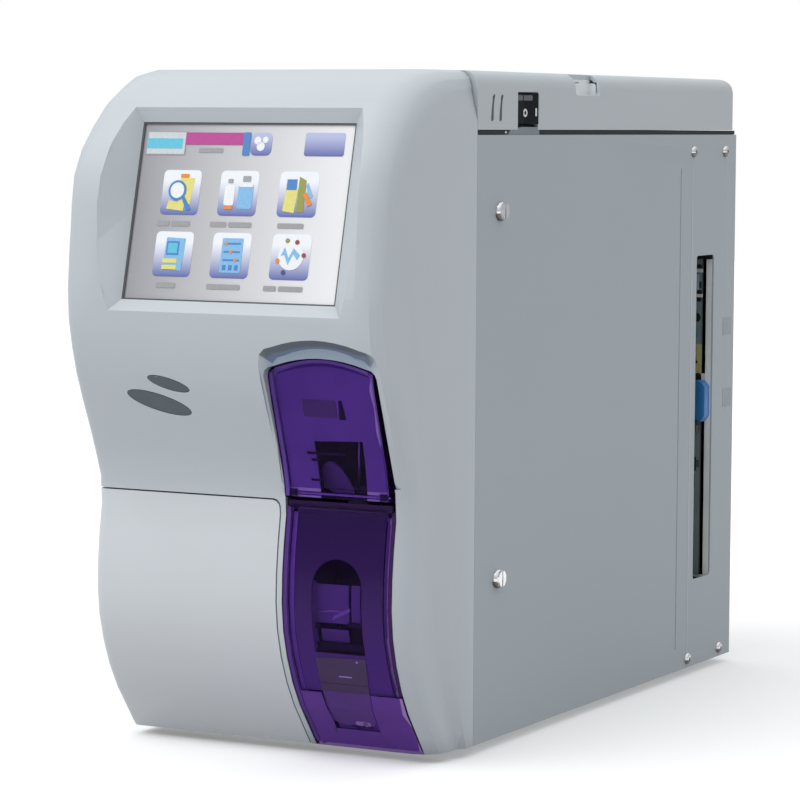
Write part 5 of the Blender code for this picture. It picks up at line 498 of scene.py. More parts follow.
# %% Plastic, rubber and clear parts
# colour, roughness and the fineness of the surface's grain
PLAIN = {
    "black_plastic": ((0.018, 0.018, 0.020), 0.42, 900.0),
    "grey_plastic": ((0.085, 0.095, 0.110), 0.50, 900.0),
    "dark_plastic": ((0.030, 0.030, 0.042), 0.45, 900.0),
    "white_plastic": ((0.74, 0.75, 0.74), 0.45, 900.0),
    "blue_plastic": ((0.030, 0.180, 0.480), 0.35, 700.0),
    "smoked_lens": ((0.072, 0.092, 0.112), 0.30, 500.0),
    "rubber": ((0.030, 0.030, 0.032), 0.85, 1400.0),
    "housing_grey": ((0.20, 0.235, 0.26), 0.55, 1200.0),
    # near-black strips in the joint under the lid: painted shade for the gap
    "seam_shade_black": ((0.022, 0.026, 0.030), 0.95, 2200.0),
    "gasket_grey": ((0.10, 0.11, 0.12), 0.80, 1200.0),
    "label_grey": ((0.355, 0.395, 0.425), 0.55, 900.0),
    "notch_pale": ((0.80, 0.83, 0.85), 0.50, 900.0),
    # dark plates for painted shade in the lid's vents and finger notch
    "painted_shade_dark": ((0.060, 0.075, 0.085), 0.60, 900.0),
    "bay_white": ((0.94, 0.96, 0.99), 0.50, 900.0),
    "bay_grey": ((0.22, 0.27, 0.29), 0.60, 900.0),
    "bay_shade": ((0.085, 0.105, 0.125), 0.60, 900.0),
    "relay_yellow": ((0.52, 0.50, 0.24), 0.50, 900.0),
    "shield_plastic": ((0.66, 0.62, 0.74), 0.45, 900.0),
    "cover_skirt": ((0.38, 0.28, 0.56), 0.50, 900.0),
    "patch_dull": ((0.44, 0.50, 0.36), 0.55, 900.0),
    # pale backing, also used for painted highlights inside the tube door
    "pale_and_highlight": ((0.94, 0.86, 0.94), 0.50, 900.0),
    "dull_backing": ((0.46, 0.46, 0.48), 0.55, 900.0),
    "dim_backing": ((0.44, 0.42, 0.46), 0.55, 900.0),
    "skirt_edge": ((0.27, 0.18, 0.38), 0.50, 900.0),
    # lit and shaded copies for the tube door's sides: painted light and painted shade
    "lit_skirt": ((0.46, 0.33, 0.55), 0.50, 900.0),
    "shaded_skirt": ((0.090, 0.066, 0.100), 0.50, 900.0),
    "shaded_lining": ((0.36, 0.31, 0.38), 0.50, 900.0),
    "top_lining": ((0.24, 0.24, 0.26), 0.50, 900.0),
    "foot_violet": ((0.34, 0.195, 0.49), 0.50, 900.0),
    "holder_dull": ((0.16, 0.175, 0.14), 0.50, 900.0),
    "holder_foot": ((0.27, 0.19, 0.36), 0.50, 900.0),
    # a dim grey for the painted highlight on the power rocker
    "painted_highlight_grey": ((0.125, 0.135, 0.15), 0.45, 900.0),
}
for name, (colour, roughness, texture) in PLAIN.items():
    grained(name, colour, roughness, 60.0, 0.08, bump=texture, bump_depth=0.00003,
            shine=(roughness * 0.85, min(roughness * 1.15, 1.0)))
grained("violet_lip", (0.026, 0.011, 0.052), 0.60, 60.0, Specular_IOR_Level=0.06)
grained("screen_glass", (0.42, 0.43, 0.45), 0.10, 20.0, 0.03)
grained("switch_black", (0.008, 0.009, 0.012), 0.55, 60.0, 0.08, bump=900.0,
        Specular_IOR_Level=0.12)
grained("clear_acrylic", (0.80, 0.86, 0.88), 0.06, 40.0, 0.03, IOR=1.45,
        Transmission_Weight=0.75)
grained("silicone_tube", (0.78, 0.78, 0.72), 0.3, 80.0, IOR=1.3, Transmission_Weight=0.35)

dress("black_plastic", "tube_adapter", "fan_housing", "fan_rotor", "power_inlet",
      "piercer_motor", "syringe_motor")
dress("gasket_grey", "screen_gasket")
dress("switch_black", "switch_housing")
dress("screen_glass", "touch_panel")
dress("dark_plastic", "sample_bay_housing")
dress("grey_plastic", "piercer_carriage", "vacuum_pump")
dress("white_plastic", "rinse_cup", "syringe_plunger", "fluid_port_block")
dress("bay_white", "connector_bay_wall")
dress("rubber", "foot_front_left", "foot_front_right", "foot_rear_left",
      "foot_rear_right")
dress("clear_acrylic", "detector_block", "syringe_barrel", "valve_manifold",
      "waste_chamber")
dress("silicone_tube", "diluent_line")
finished_copy("power_rocker", "switch_black", 35.0, edge=0.0005)
for node in ("status_lens_large", "status_lens_small"):
    finished_copy(node, "smoked_lens", 40.0)
print(len(PLAIN), "plain finishes")

# %% [markdown]
# ## Inner tray of the tube door
# Behind the violet door lies a tray with a round-topped window for the tube.
# Its colour fades along the height: pale at the foot, painted light where light
# falls in from the front, and darker towards the top, painted shade.

# %% Tray finish
TRAY_LOW, TRAY_HIGH = 0.0125, 0.1285
TRAY_STOPS = ((0.000, (0.66, 0.62, 0.70)), (0.250, (0.58, 0.54, 0.60)),
              (0.550, (0.38, 0.42, 0.34)), (0.780, (0.20, 0.21, 0.19)),
              (1.000, (0.14, 0.145, 0.14)))
faded("tray_painted_light", TRAY_STOPS, TRAY_LOW, TRAY_HIGH, roughness=0.45, specular=0.5)
finished_copy("sample_door_liner", "tray_painted_light", 35.0, reach=0.010)
print("tray stops", len(TRAY_STOPS))

# %% [markdown]
# ## Metals
# Chrome pins and rods are smooth. Zinc-plated sheet has a faint rolled grain
# that runs along one way, and machined aluminium has a tighter one, so the
# noise is stretched along the direction in which the sheet was rolled.

# %% Metals
# colour, roughness, the grain's scale and how it is stretched
METALS = {
    "chrome": ((0.78, 0.78, 0.79), 0.12, 200.0, (1, 1, 1)),
    "zinc_steel": ((0.52, 0.54, 0.55), 0.36, 260.0, (1, 1, 14)),
    "aluminium": ((0.68, 0.69, 0.70), 0.34, 300.0, (1, 1, 20)),
    "brass": ((0.72, 0.56, 0.26), 0.28, 200.0, (1, 1, 1)),
    # painted shade and dark reflection for the lower forward side of screw heads
    "painted_shade_chrome": ((0.16, 0.14, 0.12), 0.30, 200.0, (1, 1, 1)),
}
for name, (colour, roughness, scale, stretch) in METALS.items():
    grained(name, colour, roughness, scale, stretch=stretch, metallic=1.0,
            shine=(roughness * 0.8, roughness * 1.3))
dress("chrome", "fan_guard", "guide_rod_left", "guide_rod_right", "lead_screw",
      "probe_cover_pin", "sample_door_pin", "sample_needle", "service_door_pin",
      "thumb_screw_left_lower", "thumb_screw_left_upper",
      "thumb_screw_right_lower", "thumb_screw_right_upper")
dress("zinc_steel", "base_pan", "bulkhead", "lcd_module", "power_supply", "top_frame")
dress("aluminium", "piercer_frame", "syringe_bracket")
print(len(METALS), "metals")

# %% [markdown]
# ## Circuit boards
# A board shows green solder mask over copper tracks. A fine brick pattern in
# three close greens stands for the tracks.

# %% Circuit boards
BOARD_GREEN = (0.020, 0.120, 0.050)
tree, shader = new_finish("board_green", BOARD_GREEN, 0.35)
place = add_node(tree, "TexCoord")
turned = add_node(tree, "Mapping", Rotation=(0, math.radians(90), 0))
tracks = add_node(tree, "TexBrick", Scale=160.0, Mortar_Size=0.08, Color1=(*BOARD_GREEN, 1),
                  Color2=(0.016, 0.095, 0.042, 1), Mortar=(0.050, 0.200, 0.085, 1))
join(tree, (place, "Object", turned, "Vector"), (turned, "Vector", tracks, "Vector"),
     (tracks, "Color", shader, "Base Color"))
dress("board_green", "lamp_board", "lcd_board", "main_board")
print(len(finishes), "finishes made")

# %% [markdown]
# ## A small kit for shapes
# Most added pieces are thin plates: a block with rounded upright edges, a disc
# or a flat outline pushed up. Each helper adds one closed body to a bmesh and
# marks its faces with a material number. A piece is then written as a list of
# parts, each with its helper first and what the helper needs after it. These
# lists are in millimetres, as on a drawing, and the helpers build in metres.

# %% Shape helpers
MM = 0.001
SMOOTH_ANGLE = math.radians(35)


def metres(values):
    """Lengths in millimetres as a list in metres."""
    return [value * MM for value in values]


def mark(faces, finish):
    """Give faces a material number."""
    for face in faces:
        face.material_index = finish


def round_edges(sketch, radius, segments, edges=None):
    """Round some edges of a sketch, or all of them."""
    bmesh.ops.bevel(sketch, geom=edges or list(sketch.edges), offset=radius * MM,
                    segments=segments, profile=0.5, affect="EDGES", clamp_overlap=True,
                    material=-1)


def block(sketch, centre, size, radius=0.0, finish=0, segments=3):
    """A block; its upright edges are rounded if a radius is given."""
    size = metres(size)
    fresh = bmesh.ops.create_cube(
        sketch, size=1.0,
        matrix=Matrix.Translation(metres(centre)) @ Matrix.Diagonal((*size, 1)))["verts"]
    faces = {face for point in fresh for face in point.link_faces}
    if radius > 0:
        edges = {edge for point in fresh for edge in point.link_edges}
        upright = [e for e in edges
                   if abs(e.verts[0].co.z - e.verts[1].co.z) > size[2] / 2]
        before = set(sketch.faces) - faces
        round_edges(sketch, radius, segments, upright)
        faces = set(sketch.faces) - before
    mark(faces, finish)


def disc(sketch, centre, radius, height, finish=0, sides=24, top_radius=None):
    """A short cylinder or cone that stands on its centre point's height."""
    x, y, low = centre
    fresh = bmesh.ops.create_cone(
        sketch, cap_ends=True, segments=sides, radius1=radius * MM,
        radius2=(radius if top_radius is None else top_radius) * MM, depth=height * MM,
        matrix=Matrix.Translation(metres((x, y, low + height / 2))))["verts"]
    mark({face for point in fresh for face in point.link_faces}, finish)


def outline(sketch, points, low, height, finish=0):
    """A flat outline pushed up by a height."""
    base = sketch.faces.new([sketch.verts.new(metres((x, y, low))) for x, y in points])
    pushed = bmesh.ops.extrude_face_region(sketch, geom=[base])
    risen = [item for item in pushed["geom"] if isinstance(item, bmesh.types.BMVert)]
    bmesh.ops.translate(sketch, vec=(0, 0, height * MM), verts=risen)
    faces = {face for point in risen for face in point.link_faces} | {base}
    mark(faces, finish)
    bmesh.ops.recalc_face_normals(sketch, faces=list(faces))


def strip(sketch, left_x, right_x, low_z, high_z, low, height, finish=0):
    """A rectangle pushed up by a height."""
    outline(sketch, [(left_x, low_z), (right_x, low_z), (right_x, high_z),
                     (left_x, high_z)], low, height, finish)


def facing(origin, across, up):
    """The matrix that carries plate space, with Z outward, to a surface."""
    across, up = Vector(across).normalized(), Vector(up).normalized()
    turn = Matrix((across, up, across.cross(up))).transposed().to_4x4()
    return Matrix.Translation(metres(origin)) @ turn


def add_piece(name, parts, finish_names, body, matrix=None, smooth=False):
    """Build parts into one piece at the origin that rides on a CAD body."""
    sketch = bmesh.new()
    for helper, *details in parts:
        helper(sketch, *details)
    if matrix is not None:
        bmesh.ops.transform(sketch, matrix=matrix, verts=sketch.verts)
    mesh = bpy.data.meshes.new(name)
    sketch.to_mesh(mesh)
    sketch.free()
    for finish_name in finish_names:
        mesh.materials.append(finishes[finish_name])
    if smooth:
        mesh.shade_smooth()
        mesh.set_sharp_from_angle(angle=SMOOTH_ANGLE)
    piece = bpy.data.objects.new(name, mesh)
    scene.collection.objects.link(piece)
    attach(piece, body)
    return piece


print("shape helpers ready")

# %% [markdown]
# ## Picture on the display
# The display shows a grey field, light at the right, with two rows of picture
# tiles, a header and a button. It is built of thin plates laid on the touch
# panel, because a plate keeps its crisp edge from any distance. The tiles fade
# from white to blue, and their height on the panel drives the fade.

# %% Display finishes
SCREEN_FOOT = Vector((0, -224.5, 234))
SCREEN_UP = Vector((0, 0.235142, 0.971961))
SCREEN_OUT = Vector((0, 0.972, -0.2351))
SCREEN_SIZE = (122.6, 91.1)
GLASS_DEPTH = 1.35
TILE_SIZE = (22, 23)
TILE_ROWS = (55.6, 24)
TILE_COLUMNS = (-35.1, -1.6, 32.6)
TILE_FADE = ((0, (0.10, 0.14, 0.42)), (1, (0.90, 0.92, 0.97)))
FIELD_FADE = ((0, (0.36, 0.36, 0.385)), (1, (0.88, 0.88, 0.89)))
HEADER_FADE = ((0, (0.07, 0.09, 0.36)), (1, (0.50, 0.54, 0.78)))
HEADER_LOW, HEADER_HIGH = 73.5, 84.5
FIELD_EDGE = 0.058
# where a tile's fade starts and stops, as shares of its height from its middle
FADE_FOOT, FADE_HEAD = 0.52, 0.25
INKS = {
    "orange": (0.80, 0.25, 0.04), "yellow": (0.78, 0.72, 0.20),
    "blue": (0.05, 0.22, 0.56), "sky": (0.22, 0.50, 0.80),
    "green": (0.30, 0.32, 0.05), "white": (0.88, 0.90, 0.93),
    "magenta": (0.50, 0.035, 0.29), "cyan": (0.10, 0.55, 0.75),
    "navy": (0.05, 0.06, 0.22), "red": (0.35, 0.03, 0.05),
    "grey": (0.35, 0.37, 0.40), "field": (0.62, 0.66, 0.68),
    "caption": (0.34, 0.34, 0.35),
}


def display_height(up):
    """World height in metres of a point this far up the display."""
    return (SCREEN_FOOT.z + SCREEN_UP.z * up) * MM


faded("display_grey", FIELD_FADE, -FIELD_EDGE, FIELD_EDGE, "X")
for number, row in enumerate(TILE_ROWS):
    faded(f"tile_row_{number}", TILE_FADE, display_height(row - TILE_SIZE[1] * FADE_FOOT),
          display_height(row + TILE_SIZE[1] * FADE_HEAD))
faded("header_blue", HEADER_FADE, display_height(HEADER_LOW), display_height(HEADER_HIGH))
for name, colour in INKS.items():
    grained(f"ink_{name}", colour, 0.3, 900.0, 0.06)
print("display finishes:", len(INKS) + 4)

# %% Display field and tiles
on_display = facing(SCREEN_FOOT + SCREEN_OUT * GLASS_DEPTH, (1, 0, 0), SCREEN_UP)
FIELD_THICK = 0.12
TILE_THICK = 0.16
add_piece("display_field", [
    (block, (0, SCREEN_SIZE[1] / 2, FIELD_THICK / 2), (*SCREEN_SIZE, FIELD_THICK)),
], ["display_grey"], "chassis", on_display)
add_piece("display_tiles", [
    (block, (column, row, FIELD_THICK + TILE_THICK / 2), (*TILE_SIZE, TILE_THICK), 2.4,
     row_number)
    for row_number, row in enumerate(TILE_ROWS) for column in TILE_COLUMNS
], ["tile_row_0", "tile_row_1"], "chassis", on_display)
print("display field and", len(TILE_ROWS) * len(TILE_COLUMNS), "tiles")

# %% [markdown]
# ## Pictures on the tiles
# Each tile holds a simple wordless picture: a lens over a folder, two bottles,
# coloured blocks with a tool, a sheet with a window, a list of sliders and a
# chart. They are flat inks with their own outlines, stacked a hair above the
# tile. Plain bars stand in the header and where captions would be.

# %% Tile pictures
INK_LOW = FIELD_THICK + TILE_THICK
INK_THICK = 0.08
CAPTION_DROP = -16
CAPTION_SHIFT = -2.2
top, bottom = TILE_ROWS
left, middle, right = TILE_COLUMNS
# an ink, its layer and its form: (x, y, radius) for a disc, (x, y, width,
# height, corner radius) for a block, or an outline's points
TILE_ART = {
    (left, top): (
        ("yellow", 0, ((-1, -6), (6, -6), (7.5, 7.5), (-1, 7.5))),
        ("orange", 1, (1.5, 8.5, 5, 2, 0.6)),
        ("yellow", 1, ((-7.5, -8.5), (2.5, -9.5), (3, -6), (-6.5, -4))),
        ("blue", 2, ((1, -3), (2.5, -2), (7, -8.5), (4.5, -9.5))),
        ("blue", 3, (-2, 1, 5.2)), ("white", 4, (-2, 1, 4))),
    (middle, top): (
        ("white", 1, (-5, -1, 5.8, 10.5, 1.2)),
        ("grey", 1, (-5, 6.2, 3, 2.2, 0.5)),
        ("orange", 2, (-5, -7.2, 5, 2, 0.5)),
        ("sky", 1, (4.2, -1.5, 8.6, 12.8, 1.4)),
        ("white", 2, (4.2, 4.2, 8, 1.8, 0.6)),
        ("grey", 1, (4.2, 7.4, 4.6, 3, 0.5))),
    (right, top): (
        ("blue", 2, (-4, 4.8, 5.6, 5.4, 0)),
        ("green", 1, ((0, 9), (4, 7), (4, -9), (0, -9))),
        ("yellow", 1, ((-7.8, -8.5), (-1.2, -9.5), (0, 3), (-7, 2))),
        ("sky", 2, ((4, 4.5), (5.2, 5.8), (8.5, -1), (7, -2))),
        ("orange", 3, ((3, 0), (5, 1), (8.5, -5), (6.2, -6.2)))),
    (left, bottom): (
        ("sky", 1, ((-5.5, -7.5), (5.5, -8.5), (6.5, 8), (-4.5, 8.5))),
        ("blue", 2, (-0.5, 3, 7.2, 7, 0)),
        ("cyan", 3, (-0.5, 3, 5.6, 5.2, 0)),
        ("yellow", 3, (-1.5, -3.5, 8.5, 2.2, 0)),
        ("yellow", 3, (-1.5, -6.8, 8.5, 2.2, 0))),
    (middle, bottom): (
        ("sky", 1, (0.5, 0, 12, 17.5, 0.5)),
        *[row for k in range(3) for row in (
            ("blue", 2, (0.5, 6 - k * 4.2, 9.5, 0.9, 0)),
            ("orange", 3, (-3 + k * 3, 6 - k * 4.2, 0.9)))],
        *[("blue", 2, (-3 + k * 3.5, -6.2, 2, 2.6, 0)) for k in range(3)]),
    (right, bottom): (
        ("white", 1, (0.3, 0.6, 7.2)),
        ("sky", 2, ((-5.5, 0.5), (-3.5, 5), (-1, -0.5), (1.5, 4.5),
                    (5.5, 1), (4, -1.5), (1.5, 1.5), (-1, -4), (-3.5, 1))),
        ("red", 3, (3, 7.5, 1.2)), ("green", 3, (-2.5, 8.2, 1.2)),
        ("orange", 3, (-7, -2, 1.2)), ("navy", 3, (-3, -7.8, 1.2)),
        ("red", 3, (7.5, 1, 1.2))),
    (0, 0): (  # the header, in the display's own place
        ("grey", 0, (-47.2, 80.9, 23.2, 12.2, 0)),
        ("field", 1, (-47.2, 80.9, 22.2, 11.2, 0)),
        ("cyan", 2, (-47.8, 80.7, 20.6, 5.2, 0)),
        ("magenta", 1, (-18.9, 83.4, 34, 6.2, 0)),
        ("blue", 2, (-0.2, 80.8, 4, 11.8, 0.6)),
        ("caption", 0, (-20.5, 77.4, 14, 2.4, 0.6))),
}
CAPTIONS = {
    (left, top): (8.5, 12), (middle, top): (10.5, 14.5), (right, top): (16,),
    (left, bottom): (12.5,), (middle, bottom): (20.5,), (right, bottom): (8.5, 15),
}


def add_ink(sketch, column, row, colour, layer, form):
    """Flat ink at a tile's middle, a disc, a block or an outline by its form."""
    low, number = INK_LOW + layer * INK_THICK, list(INKS).index(colour)
    if isinstance(form[0], tuple):
        outline(sketch, [(column + x, row + y) for x, y in form], low, INK_THICK, number)
        return
    x, y, width, *rest = form
    if rest:
        block(sketch, (column + x, row + y, low + INK_THICK / 2), (width, rest[0], INK_THICK),
              rest[1], number, 2)
    else:
        disc(sketch, (column + x, row + y, low), width, INK_THICK, number, 20)


parts = [(add_ink, *place, *row) for place, rows in TILE_ART.items() for row in rows]
for (column, row), widths in CAPTIONS.items():
    start = column - sum(widths) / 2 + CAPTION_SHIFT
    for width in widths:
        parts.append((add_ink, 0, 0, "caption", 0,
                      (start + width / 2, row + CAPTION_DROP, width - 1.2, 2.6, 0.6)))
        start += width
add_piece("display_pictures", parts, [f"ink_{name}" for name in INKS], "chassis",
          on_display)
print("display pictures:", len(parts), "inks")

# %% Display buttons
add_piece("display_buttons", [
    (block, (44.3, 80.9, FIELD_THICK + 0.1), (22.4, 11.8, 0.2), 1.2),
    (block, (8.2, 80.8, FIELD_THICK + 0.1), (12, 11.6, 0.2), 2.8),
    *[(disc, (x, y, FIELD_THICK + 0.2), radius, 0.1, 1, 18)
      for x, y, radius in ((6, 82.6, 2), (10.4, 83, 1.6), (8, 79.6, 2.3))],
], ["header_blue", "ink_white"], "chassis", on_display)
print("two display buttons")

# %% [markdown]
# ## Screw heads
# The panels are held by small domed screws, and the thumb screws have a larger
# domed cap. Each head is turned by spinning a short profile, with a small recess
# in its middle painted black as shade, and its lower forward side painted in a
# dark chrome as shade and dark reflection.

# %% Screw heads
SIDE_X = 92.5
HEAD_PROUD = 0.01
HEAD_SIDES = 28
# shares of the head's radius and height, from the middle out
HEAD_PROFILE = ((0.30, 1), (0.62, 0.93), (0.86, 0.72), (0.98, 0.36), (1, 0))
RECESS_FLOOR, RECESS_MOUTH, RECESS_FOOT = 0.26, 0.295, 0.3
# where the painted shade starts on a head, as shares of its radius and height
SHADE_FORWARD, SHADE_BELOW = 0.20, 0.97
# name, places as Y and Z, radius, height and depth of the recess
SCREWS = (
    ("thumb_cap", ((-106.5, 278.5), (-106.5, 88.7)), 5.15, 3.4, 1.2),
    ("panel_screw", ((148.4, 307.6), (196.4, 307.6), (148.4, 10.5), (196.4, 10.5)),
     3.35, 1.9, 0.7),
)


def turned_head(sketch, radius, height, recess):
    """Spin a domed profile fully round Z; mark its recess and lower front for painted shade."""
    radius, height, recess = metres((radius, height, recess))
    profile = [(0, height - recess), (radius * RECESS_FLOOR, height - recess),
               *[(radius * out, height * up) for out, up in HEAD_PROFILE], (0, 0)]
    points = [sketch.verts.new((out, 0, up)) for out, up in profile]
    edges = [sketch.edges.new(pair) for pair in zip(points, points[1:])]
    bmesh.ops.spin(sketch, geom=points + edges, axis=(0, 0, 1), cent=(0, 0, 0),
                   dvec=(0, 0, 0), angle=math.tau, steps=HEAD_SIDES, use_merge=True,
                   use_duplicate=False)
    bmesh.ops.remove_doubles(sketch, verts=sketch.verts, dist=1e-6)
    bmesh.ops.recalc_face_normals(sketch, faces=sketch.faces)
    for face in sketch.faces:
        spot = face.calc_center_median()
        inside = math.hypot(spot.x, spot.y) < radius * RECESS_MOUTH
        # the recess is painted black as shade, and the lower forward side dark as shade
        if inside and spot.z > height * RECESS_FOOT:
            face.material_index = 1
        elif spot.y < -radius * SHADE_FORWARD and spot.z < height * SHADE_BELOW:
            face.material_index = 2


count = 0
for side, label in ((1, "right"), (-1, "left")):
    for kind, places, *sizes in SCREWS:
        for number, place in enumerate(places):
            on_side = facing((side * (SIDE_X + HEAD_PROUD), *place), (0, side, 0), (0, 0, 1))
            add_piece(f"{kind}_{label}_{number}", [(turned_head, *sizes)],
                      ["chrome", "black_plastic", "painted_shade_chrome"], "chassis", on_side,
                      smooth=True)
            count += 1
print(count, "screw heads")

# %% [markdown]
# ## Power switch
# The rocker is black, with a painted highlight along its top: dim grey plates
# where light catches it. It has the usual round and straight marks for off and
# on. The marks are thin printed plates that lie on the rocker's rear half and
# tilt with it.

# %% Switch marks
MARK_THICK = 0.12
OFF_RADII = (1.9, 0.9)
OFF_STRETCH = (0.80, 1.15, 1)
HIGHLIGHT_THICK = 0.08
ROCKER_OUT = Vector((0.937, -0.349, 0)) * 0.02
on_rear_half = facing(Vector((90.5, -73.4, 328.8)) + ROCKER_OUT, (0.349, 0.937, 0), (0, 0, 1))
on_front_half = facing((89.64, -79, 336.6), (0.122, 0.9925, 0), (0, 0, 1))


def off_mark(sketch):
    """An upright oval ring."""
    rims = [bmesh.ops.create_circle(sketch, segments=28, radius=radius * MM)["verts"]
            for radius in OFF_RADII]
    edges = list({edge for point in rims[0] + rims[1] for edge in point.link_edges})
    ring = bmesh.ops.bridge_loops(sketch, edges=edges)["faces"]
    raised = bmesh.ops.extrude_face_region(sketch, geom=ring, use_keep_orig=True)["geom"]
    bmesh.ops.translate(
        sketch, vec=(0, 0, MARK_THICK * MM),
        verts=[item for item in raised if isinstance(item, bmesh.types.BMVert)])
    bmesh.ops.scale(sketch, vec=OFF_STRETCH, verts=sketch.verts)
    bmesh.ops.recalc_face_normals(sketch, faces=sketch.faces)


add_piece("switch_marks", [
    (off_mark,),
    (block, (7.9, 0.4, MARK_THICK / 2), (1.1, 4.2, MARK_THICK), 0.3),
], ["white_plastic"], "power_rocker", on_rear_half)
# painted highlight: dim grey plates along the rocker's top, where light catches it
add_piece("switch_painted_highlight_rear", [
    (block, (1.4, 7.8, HIGHLIGHT_THICK / 2), (7.6, 2.8, HIGHLIGHT_THICK), 0.6),
], ["painted_highlight_grey"], "power_rocker", on_rear_half)
add_piece("switch_painted_highlight_front", [
    (block, (0, 0, HIGHLIGHT_THICK / 2), (7.2, 2.8, HIGHLIGHT_THICK), 0.6),
], ["painted_highlight_grey"], "power_rocker", on_front_half)
print("switch marks and sheen")

# %% [markdown]
# ## Seam under the lid
# Black strips fill the joint between the lid and the side panels, painted shade
# for the dark gap there, and a grey bracket under the power switch fills the gap
# that the switch leaves. The strips run all the way round the sides and the back
# but for the switch.

# %% Seam strips
SEAM_FRONT = -131.8
PANEL_BACK = 212.5
STRIP_X, STRIP_THICK = 91.48, 0.8
STRIP_LOW, STRIP_HIGH = 317.55, 319.75
STRIP_MIDDLE, STRIP_HEIGHT = (STRIP_LOW + STRIP_HIGH) / 2, STRIP_HIGH - STRIP_LOW
# side, and where the strip starts and stops
SEAM_RUNS = ((1, SEAM_FRONT, -97.5), (1, -59.5, PANEL_BACK), (-1, SEAM_FRONT, PANEL_BACK))
# plate space carried to the right side: its X runs back, its Y up, its Z outward
ON_RIGHT = Matrix(((0, 0, 1, 0), (1, 0, 0, 0), (0, 1, 0, 0), (0, 0, 0, 1)))
add_piece("seam_painted_shade", [
    *[(block, (side * STRIP_X, (start + stop) / 2, STRIP_MIDDLE),
       (STRIP_THICK, stop - start, STRIP_HEIGHT)) for side, start, stop in SEAM_RUNS],
    (block, (0, PANEL_BACK + 0.6, STRIP_MIDDLE), (181, STRIP_THICK, STRIP_HEIGHT)),
], ["seam_shade_black"], "chassis")
add_piece("switch_bracket", [
    (outline, [(-96.5, 317.55), (-60, 317.55), (-60, 320.6), (-61.5, 321.45),
               (-80, 321.5), (-95, 319.9)], 91.05, 1.3),
], ["housing_grey"], "chassis", ON_RIGHT)
add_piece("switch_bracket_stud", [
    (disc, (-99, 318.8, 91.3), 1.1, 0.9, 0, 16, 0.7),
], ["chrome"], "chassis", ON_RIGHT, smooth=True)
print("seam strips and switch bracket")

# %% [markdown]
# ## Vent shades and the panel's raised stretch
# Each vent slot in the lid is a little curved, and a dark plate along its front
# edge is painted shade. The panel's rear stretch stands a hair proud of the rest,
# and a plate in the lid's lighter paint along it is a painted highlight, a thin
# pale line beside the groove.

# %% Vent shades and groove edge
VENT_STARTS = (-117.2, -107.7)
VENT_LOW, VENT_HEIGHT, VENT_BEND, VENT_WIDTH = 324.5, 13.4, 2.6, 1.7
VENT_ROWS = 6
parts = []
for start in VENT_STARTS:
    front_edge = [(start + VENT_BEND * share ** 2, VENT_LOW + VENT_HEIGHT * share)
                  for share in (k / VENT_ROWS for k in range(VENT_ROWS + 1))]
    rear_edge = [(y + VENT_WIDTH, z) for y, z in reversed(front_edge)]
    parts.append((outline, front_edge + rear_edge, 92.52, 0.08))
add_piece("vent_painted_shade", parts, ["painted_shade_dark"], "chassis", ON_RIGHT)
# partly a real edge 0.12 mm proud, partly a painted highlight in the lid's lighter paint
add_piece("groove_edge_highlight", [
    (block, (92.56, 147.8, 152), (0.12, 1.3, 290)),
], ["lid_paint"], "chassis")
print("vent shades and groove edge")

# %% [markdown]
# ## Finger notch in the lid
# The notch for a fingertip opens into a pale moulded pocket. Along its back wall
# thin dark plates bend round the upper rear corner, painted shade for a gap there.

# %% Notch pocket
add_piece("notch_pocket", [
    (block, (85.5, 8, 342.8), (0.6, 46, 9.2)),
    (block, (87.6, 8, 338.1), (4.6, 46, 0.6)),
    (block, (87.9, 16.6, 341.9), (4.8, 0.6, 7.6)),
], ["notch_pale"], "chassis")
# painted shade: thin dark plates at the back of the pocket
add_piece("notch_painted_shade", [
    (block, (87.9, 16.25, 345.5), (4.6, 0.1, 0.5)),
    (block, (90.1, 16.25, 341.9), (0.4, 0.1, 7.2)),
    (block, (85.9, -4, 345.4), (0.2, 13, 0.4)),
], ["painted_shade_dark"], "chassis")
print("finger notch dressed")

# %% [markdown]
# ## Behind the connector slot
# The long slot shows the edge of the main board with its sockets, a dark gap
# and the pale wall of the bay. The gap is a dark plate, painted shade, and a
# black strip under the slot's top edge is a painted shadow. The small parts are
# flat blocks in front of the wall, because only a few millimetres of each can
# be seen through the slot.

# %% Connector bay
BAY_Y = 181.4
BAY_COLOURS = {"sky_strip": (0.42, 0.55, 0.70), "teal_bit": (0.10, 0.22, 0.28)}
